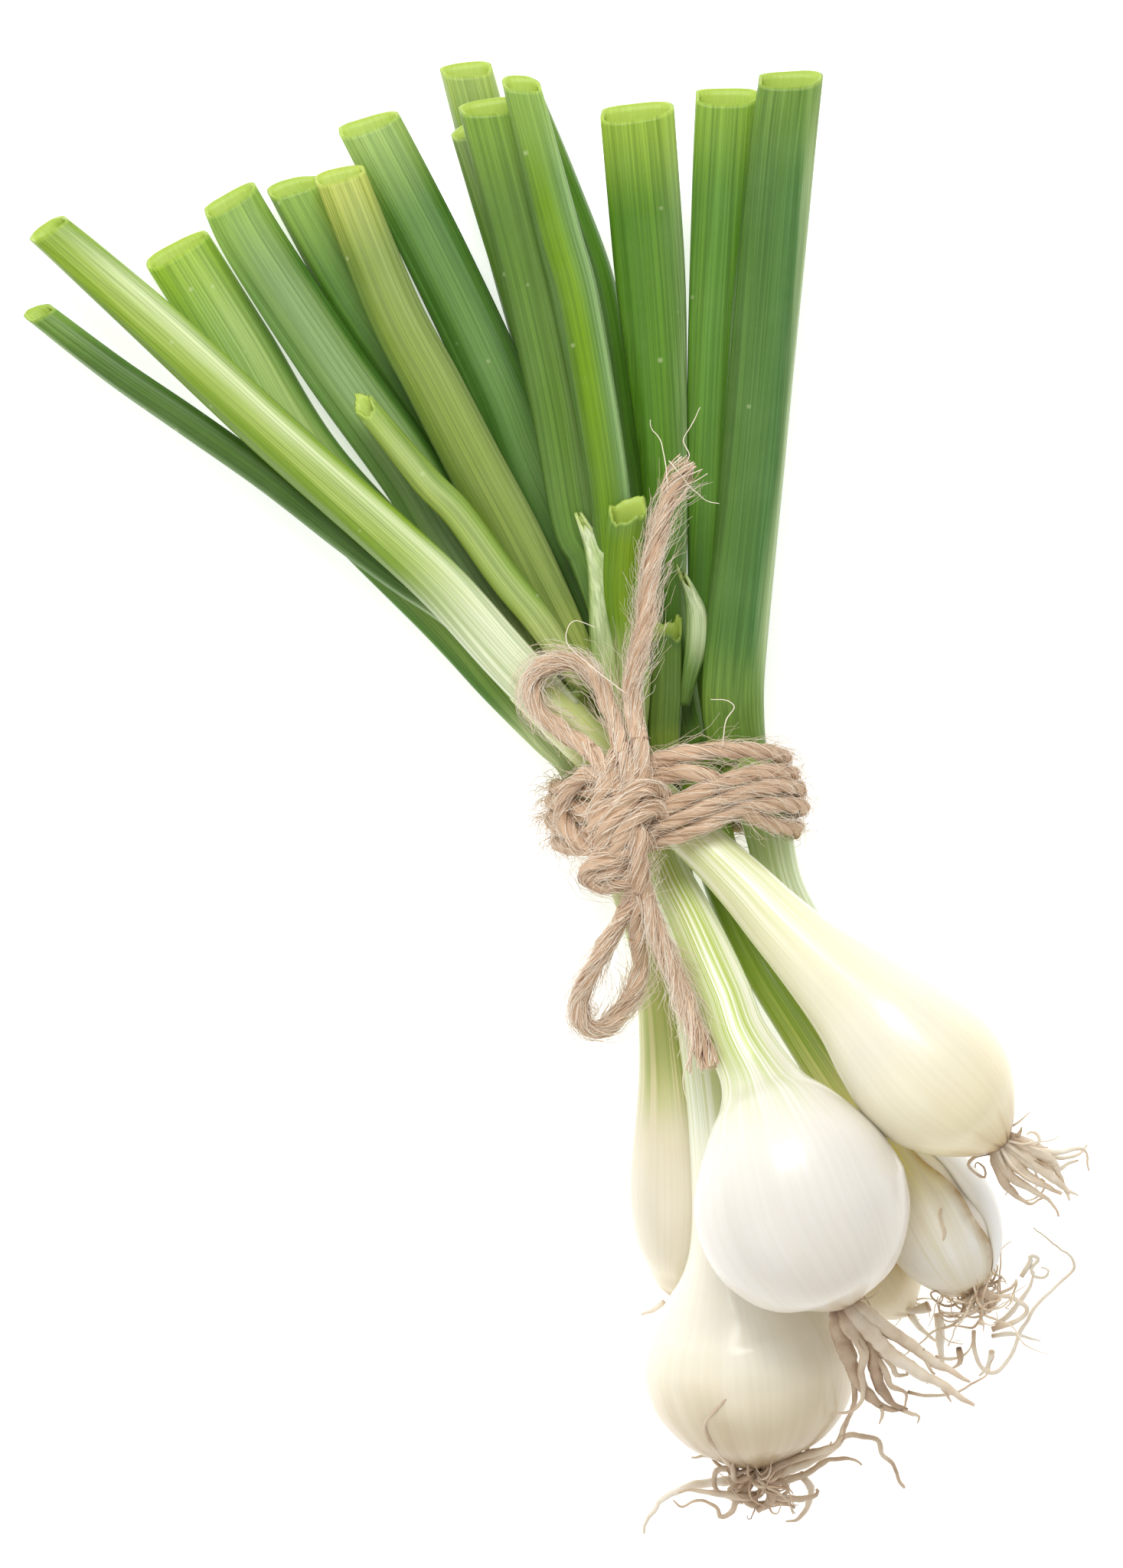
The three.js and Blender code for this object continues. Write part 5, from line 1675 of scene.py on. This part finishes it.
        ]),
    ],
    "onion_6": [
        (0.88, [[11, -94.6, 8.4, 0.89], [10.1, -98.3, 8, 0.89], [8.1, -103.7, 7, 0.76]]),
        (0.85, [[6.7, -93.1, 8, 0.63], [7.5, -96.5, 7, 0.51], [9.4, -99.2, 6, 0.38]]),
        (0.9, [[17.1, -103.3, 10, 0.51], [16.1, -105, 9, 0.51], [13.8, -107, 8, 0.38]]),
    ],
}

# Fine roots that dried into curls round each root plate: how many, shortest and longest in mm, radius,
# how tightly they curl, and paleness.
tufts = {
    "onion_1": (10, 4, 11, 0.22, 0.3, 0.55),
    "onion_2": (12, 6, 14, 0.26, 0.16, 0.66),
    "onion_3": (30, 8, 17, 0.34, 0.4, 0.5),
    "onion_4": (5, 3, 6, 0.2, 0.3, 0.85),
    "onion_5": (46, 9, 20, 0.26, 0.5, 0.68),
    "onion_6": (7, 4, 8, 0.2, 0.3, 0.85),
}

for seed, (name, laid) in enumerate(root_rows.items()):
    rng = random.Random(40 + seed)
    stations, rows = onion_frames[name]
    plate = rows[0, :3]
    away = rows[0, :3] - rows[4, :3]
    away /= np.linalg.norm(away)
    lines = [stout_root(points, tone) for tone, points in laid]
    count, shortest, longest, radius, curl, tone = tufts[name]
    for _ in range(count):
        aside = np.array([rng.gauss(0, 1) for _ in range(3)])
        heading = away * 1.1 + aside * 0.55
        start = plate + 1.3 * aside / max(1, np.linalg.norm(aside)) - away * 0.3
        length = rng.uniform(shortest, longest)
        lines.append(curly_root(rng, start, heading, length, radius * rng.uniform(0.7, 1.4), curl,
                                tone + rng.uniform(-0.2, 0.15), 0.03))
    tuft = grow(name + "_rootlets", lines, roots, {**ROOT, "Seed": seed})
    finish_piece(tuft, [name + "_roots"])


# ---------------------------------------------------------------- torn skins and sheaths

def skin_material(name, tones, length, edge_tone, vein_tone, seed):
    # Dried outer onion skin: paper-thin and slightly glossy, with fine veins and a browned torn edge.
    material, tree, shader = new_material(name)
    distance = add(tree, "ShaderNodeMath", {
        0: add(tree, "ShaderNodeAttribute", attribute_name="reach").outputs["Fac"], 1: length
    }, operation="DIVIDE").outputs[0]
    colour = add(tree, "ShaderNodeValToRGB", {0: distance}, stops=tones).outputs[0]
    streaks = add(tree, "ShaderNodeValToRGB", {
        0: lengthwise(tree, 0.9, 80, 2.0, seed)
    }, stops=[(0.46, 0.0), (0.62, 0.75)]).outputs[0]
    colour = add(tree, "ShaderNodeMix", {
        0: streaks, 6: colour, 7: linear(vein_tone)
    }, data_type="RGBA").outputs[2]
    where = add(tree, "ShaderNodeTexCoord").outputs["Object"]
    patchy = add(tree, "ShaderNodeTexNoise", {
        "Vector": where, "Scale": 320.0, "Detail": 3.0
    }).outputs["Fac"]
    edge = add(tree, "ShaderNodeMath", {
        0: add(tree, "ShaderNodeAttribute", attribute_name="edge").outputs["Fac"],
        1: add(tree, "ShaderNodeMath", {0: patchy, 1: 1.6, 2: 0.1}, operation="MULTIPLY_ADD"),
    }, operation="MULTIPLY", use_clamp=True).outputs[0]
    colour = add(tree, "ShaderNodeMix", {
        0: edge, 6: colour, 7: linear(edge_tone)
    }, data_type="RGBA").outputs[2]
    tree.links.new(colour, shader.inputs["Base Color"])
    shader.inputs["Roughness"].default_value = 0.33
    shader.inputs["Subsurface Weight"].default_value = 0.2
    shader.inputs["Subsurface Radius"].default_value = (0.003, 0.0022, 0.001)
    shader.inputs["Subsurface Scale"].default_value = 1.0
    tree.links.new(
        add(tree, "ShaderNodeBump", {
            "Height": lengthwise(tree, 0.5, 60, 2.0, seed + 1), "Distance": 0.12 * MM, "Strength": 0.5
        }).outputs[0],
        shader.inputs["Normal"],
    )
    return material


def torn_skin(name, onion, start, end, near, far, lift, tones, edge_tone, vein_tone, torn, seed):
    """A layer of skin over part of a bulb: near and far are its edges in degrees at start and end."""
    stations, rows = onion_frames[onion]
    tangent, side, upright = frames_along(rows)
    chosen = [k for k, mm in enumerate(stations) if start <= mm <= end]
    steps, thickness = 40, 0.12
    points, grain, reach_mm, edge = [], [], [], []
    for place_in, k in enumerate(chosen):
        share = place_in / (len(chosen) - 1)
        ease = share * share * (3 - 2 * share)
        first = math.radians(near[0] + (near[1] - near[0]) * ease + 2.5 * math.sin(share * 19 + seed))
        last = math.radians(far[0] + (far[1] - far[0]) * ease + 2 * math.sin(share * 15 - seed))
        angles = np.linspace(first, last, steps)
        tear = torn * share**6 * (np.sin(angles * 9 + seed) + 0.6 * np.sin(angles * 23 + 2 * seed))
        rim = np.minimum(1, np.minimum(np.arange(steps), np.arange(steps)[::-1]) / 4)
        for layer, order in ((lift, 1), (lift - thickness, -1)):
            raised = layer + 0.25 * (1 - rim) * (layer > 0) * (0.5 + 0.5 * np.sin(share * 11 + seed))
            wide, high = rows[k, 3] + raised, rows[k, 4] + raised
            ring = rows[k, :3] + (wide * np.cos(angles))[:, None] * side[k]
            ring = ring + (high * np.sin(angles))[:, None] * upright[k] + tear[:, None] * tangent[k]
            around = np.stack([6 * np.cos(angles), 6 * np.sin(angles), np.full(steps, stations[k])], axis=1)
            closeness = np.maximum(1 - rim**0.7, (share > 0.96) * 0.8)
            points.append(ring[::order])
            grain.append(around[::order])
            edge.append(closeness[::order])
            reach_mm.append(np.full(steps, stations[k]))
    sides = 2 * steps
    count = len(chosen)
    faces = tube_faces(count, sides)
    last_ring = (count - 1) * sides
    for i in range(steps - 1):
        faces.append((i, i + 1, sides - 2 - i, sides - 1 - i))
        a, b = last_ring + i, last_ring + sides - 1 - i
        faces.append((a, b, b - 1, a + 1))
    values = {"grain": np.vstack(grain), "reach": np.concatenate(reach_mm), "edge": np.concatenate(edge)}
    material = skin_material(
        name + " dried skin", tones, float(stations[-1]), edge_tone, vein_tone, float(seed)
    )
    piece = mesh_object(name, np.vstack(points), faces, values, material)
    return finish_piece(piece, [])


torn_skin(
    "onion_5_papery_skin", "onion_5", start=1.6, end=36, near=(50, 84), far=(205, 160), lift=0.32,
    tones=[(0.0, "f2e2bc"), (0.08, "fcf6e4"), (0.15, "fdf5d8"), (0.21, "fbee9c"), (0.27, "f8e768"),
           (0.34, "ecd84e")],
    edge_tone="a67f48", vein_tone="f0e4c0", torn=0.8, seed=2,
)
torn_skin(
    "onion_5_white_layer", "onion_5", start=2.4, end=27, near=(-50, -38), far=(46, 62), lift=0.14,
    tones=[(0.0, "f6f2e6"), (0.3, "fbfaf4")],
    edge_tone="e6dcc0", vein_tone="f0ead8", torn=0.5, seed=7,
)

sheaths = {
    "onion_1_membrane": dict(
        line=[
            [-4.6, 14, 18.4, 3.6, 3.4], [-2.2, 22.9, 20, 4.8, 3.4], [-0.4, 30.2, 21.4, 4.6, 3],
            [0.6, 37.6, 22.2, 3.2, 2.2], [0.6, 43.5, 22.4, 1.7, 1.4], [0.2, 48, 22.2, 0.7, 0.8],
        ],
        across="a9c07c dfe6cc b4c88a e2e9d2 b8cc92",
        base="b4c884",
        fade=0.5,
        tip="eef0e2",
        end="ragged",
        nodes=[],
    ),
    "onion_5_membrane": dict(
        line=[
            [5.6, 14.5, 19.4, 0.9, 1.2], [7.9, 18.3, 20.6, 1.3, 1.4], [10.5, 22.6, 21.2, 1.8, 1.5],
            [12.3, 27.2, 21.2, 1.8, 1.4], [12.7, 31, 20.8, 1.1, 1], [12.6, 34, 20.2, 0.6, 0.7],
        ],
        across="8fae6c a9bd8c d2dcc0 dce4cc c2d0a8",
        base="6d8f44",
        fade=0.6,
        tip="e2e8d2",
        end="ragged",
        nodes=[],
    ),
}
for name, sheath in sheaths.items():
    make_leaf(name, **sheath)

# Long stray fibres that have pulled out of the two tails.
stray_routes = [
    [
        [13.8, 45.6, 32], [14.6, 47.7, 33], [15.8, 52.5, 33.4], [16.1, 55.6, 33.2], [15.5, 57.8, 33],
        [15.9, 59.2, 33],
    ],
    [
        [15.6, 47.5, 32], [16.9, 49.5, 32.4], [19.7, 51.6, 32.6], [19.7, 54.3, 32.8], [21.7, 56.2, 33],
        [24.1, 58.4, 33],
    ],
    [[16.4, 52, 32], [16.8, 50.9, 33], [18.4, 46.4, 32], [20.2, 43.8, 31], [21.6, 42.9, 30.6]],
    [
        [-11.5, -36, 38.4], [-12.4, -37.9, 38.4], [-14.7, -40.4, 37.6], [-15.9, -43.3, 36.6],
        [-15.9, -45.9, 35.6],
    ],
    [
        [-11.4, -26, 36], [-11.9, -27.7, 37], [-13.2, -30.5, 36.4], [-12.4, -32.8, 36.6],
        [-12.7, -35.5, 37.4],
    ],
    [[-2.2, 18, 35], [-6, 24, 35], [-9, 30, 34], [-7, 33, 33], [-4, 31, 32.4]],
    [[8.8, 6, 33.6], [10.6, 9.6, 34.4], [12.8, 11.2, 34.6], [11.6, 12.8, 34.2], [9.4, 13.6, 33.6]],
]
STRAY_RADIUS = 0.1
STRAY_PALENESS = 0.95
stray_lines = []
for route in stray_routes:
    line = smooth_line(route, 0.5)[1]
    sizes = np.tile([STRAY_RADIUS, STRAY_PALENESS], (len(line), 1))
    stray_lines.append(np.column_stack([line, sizes]))
strays = grow("twine_stray_fibres", stray_lines, roots, {
    "Wobble": 0.0008, "Wobble scale": 400.0, "Taper": 0.4, "Material": jute, "Seed": 3
})
finish_piece(strays, [])
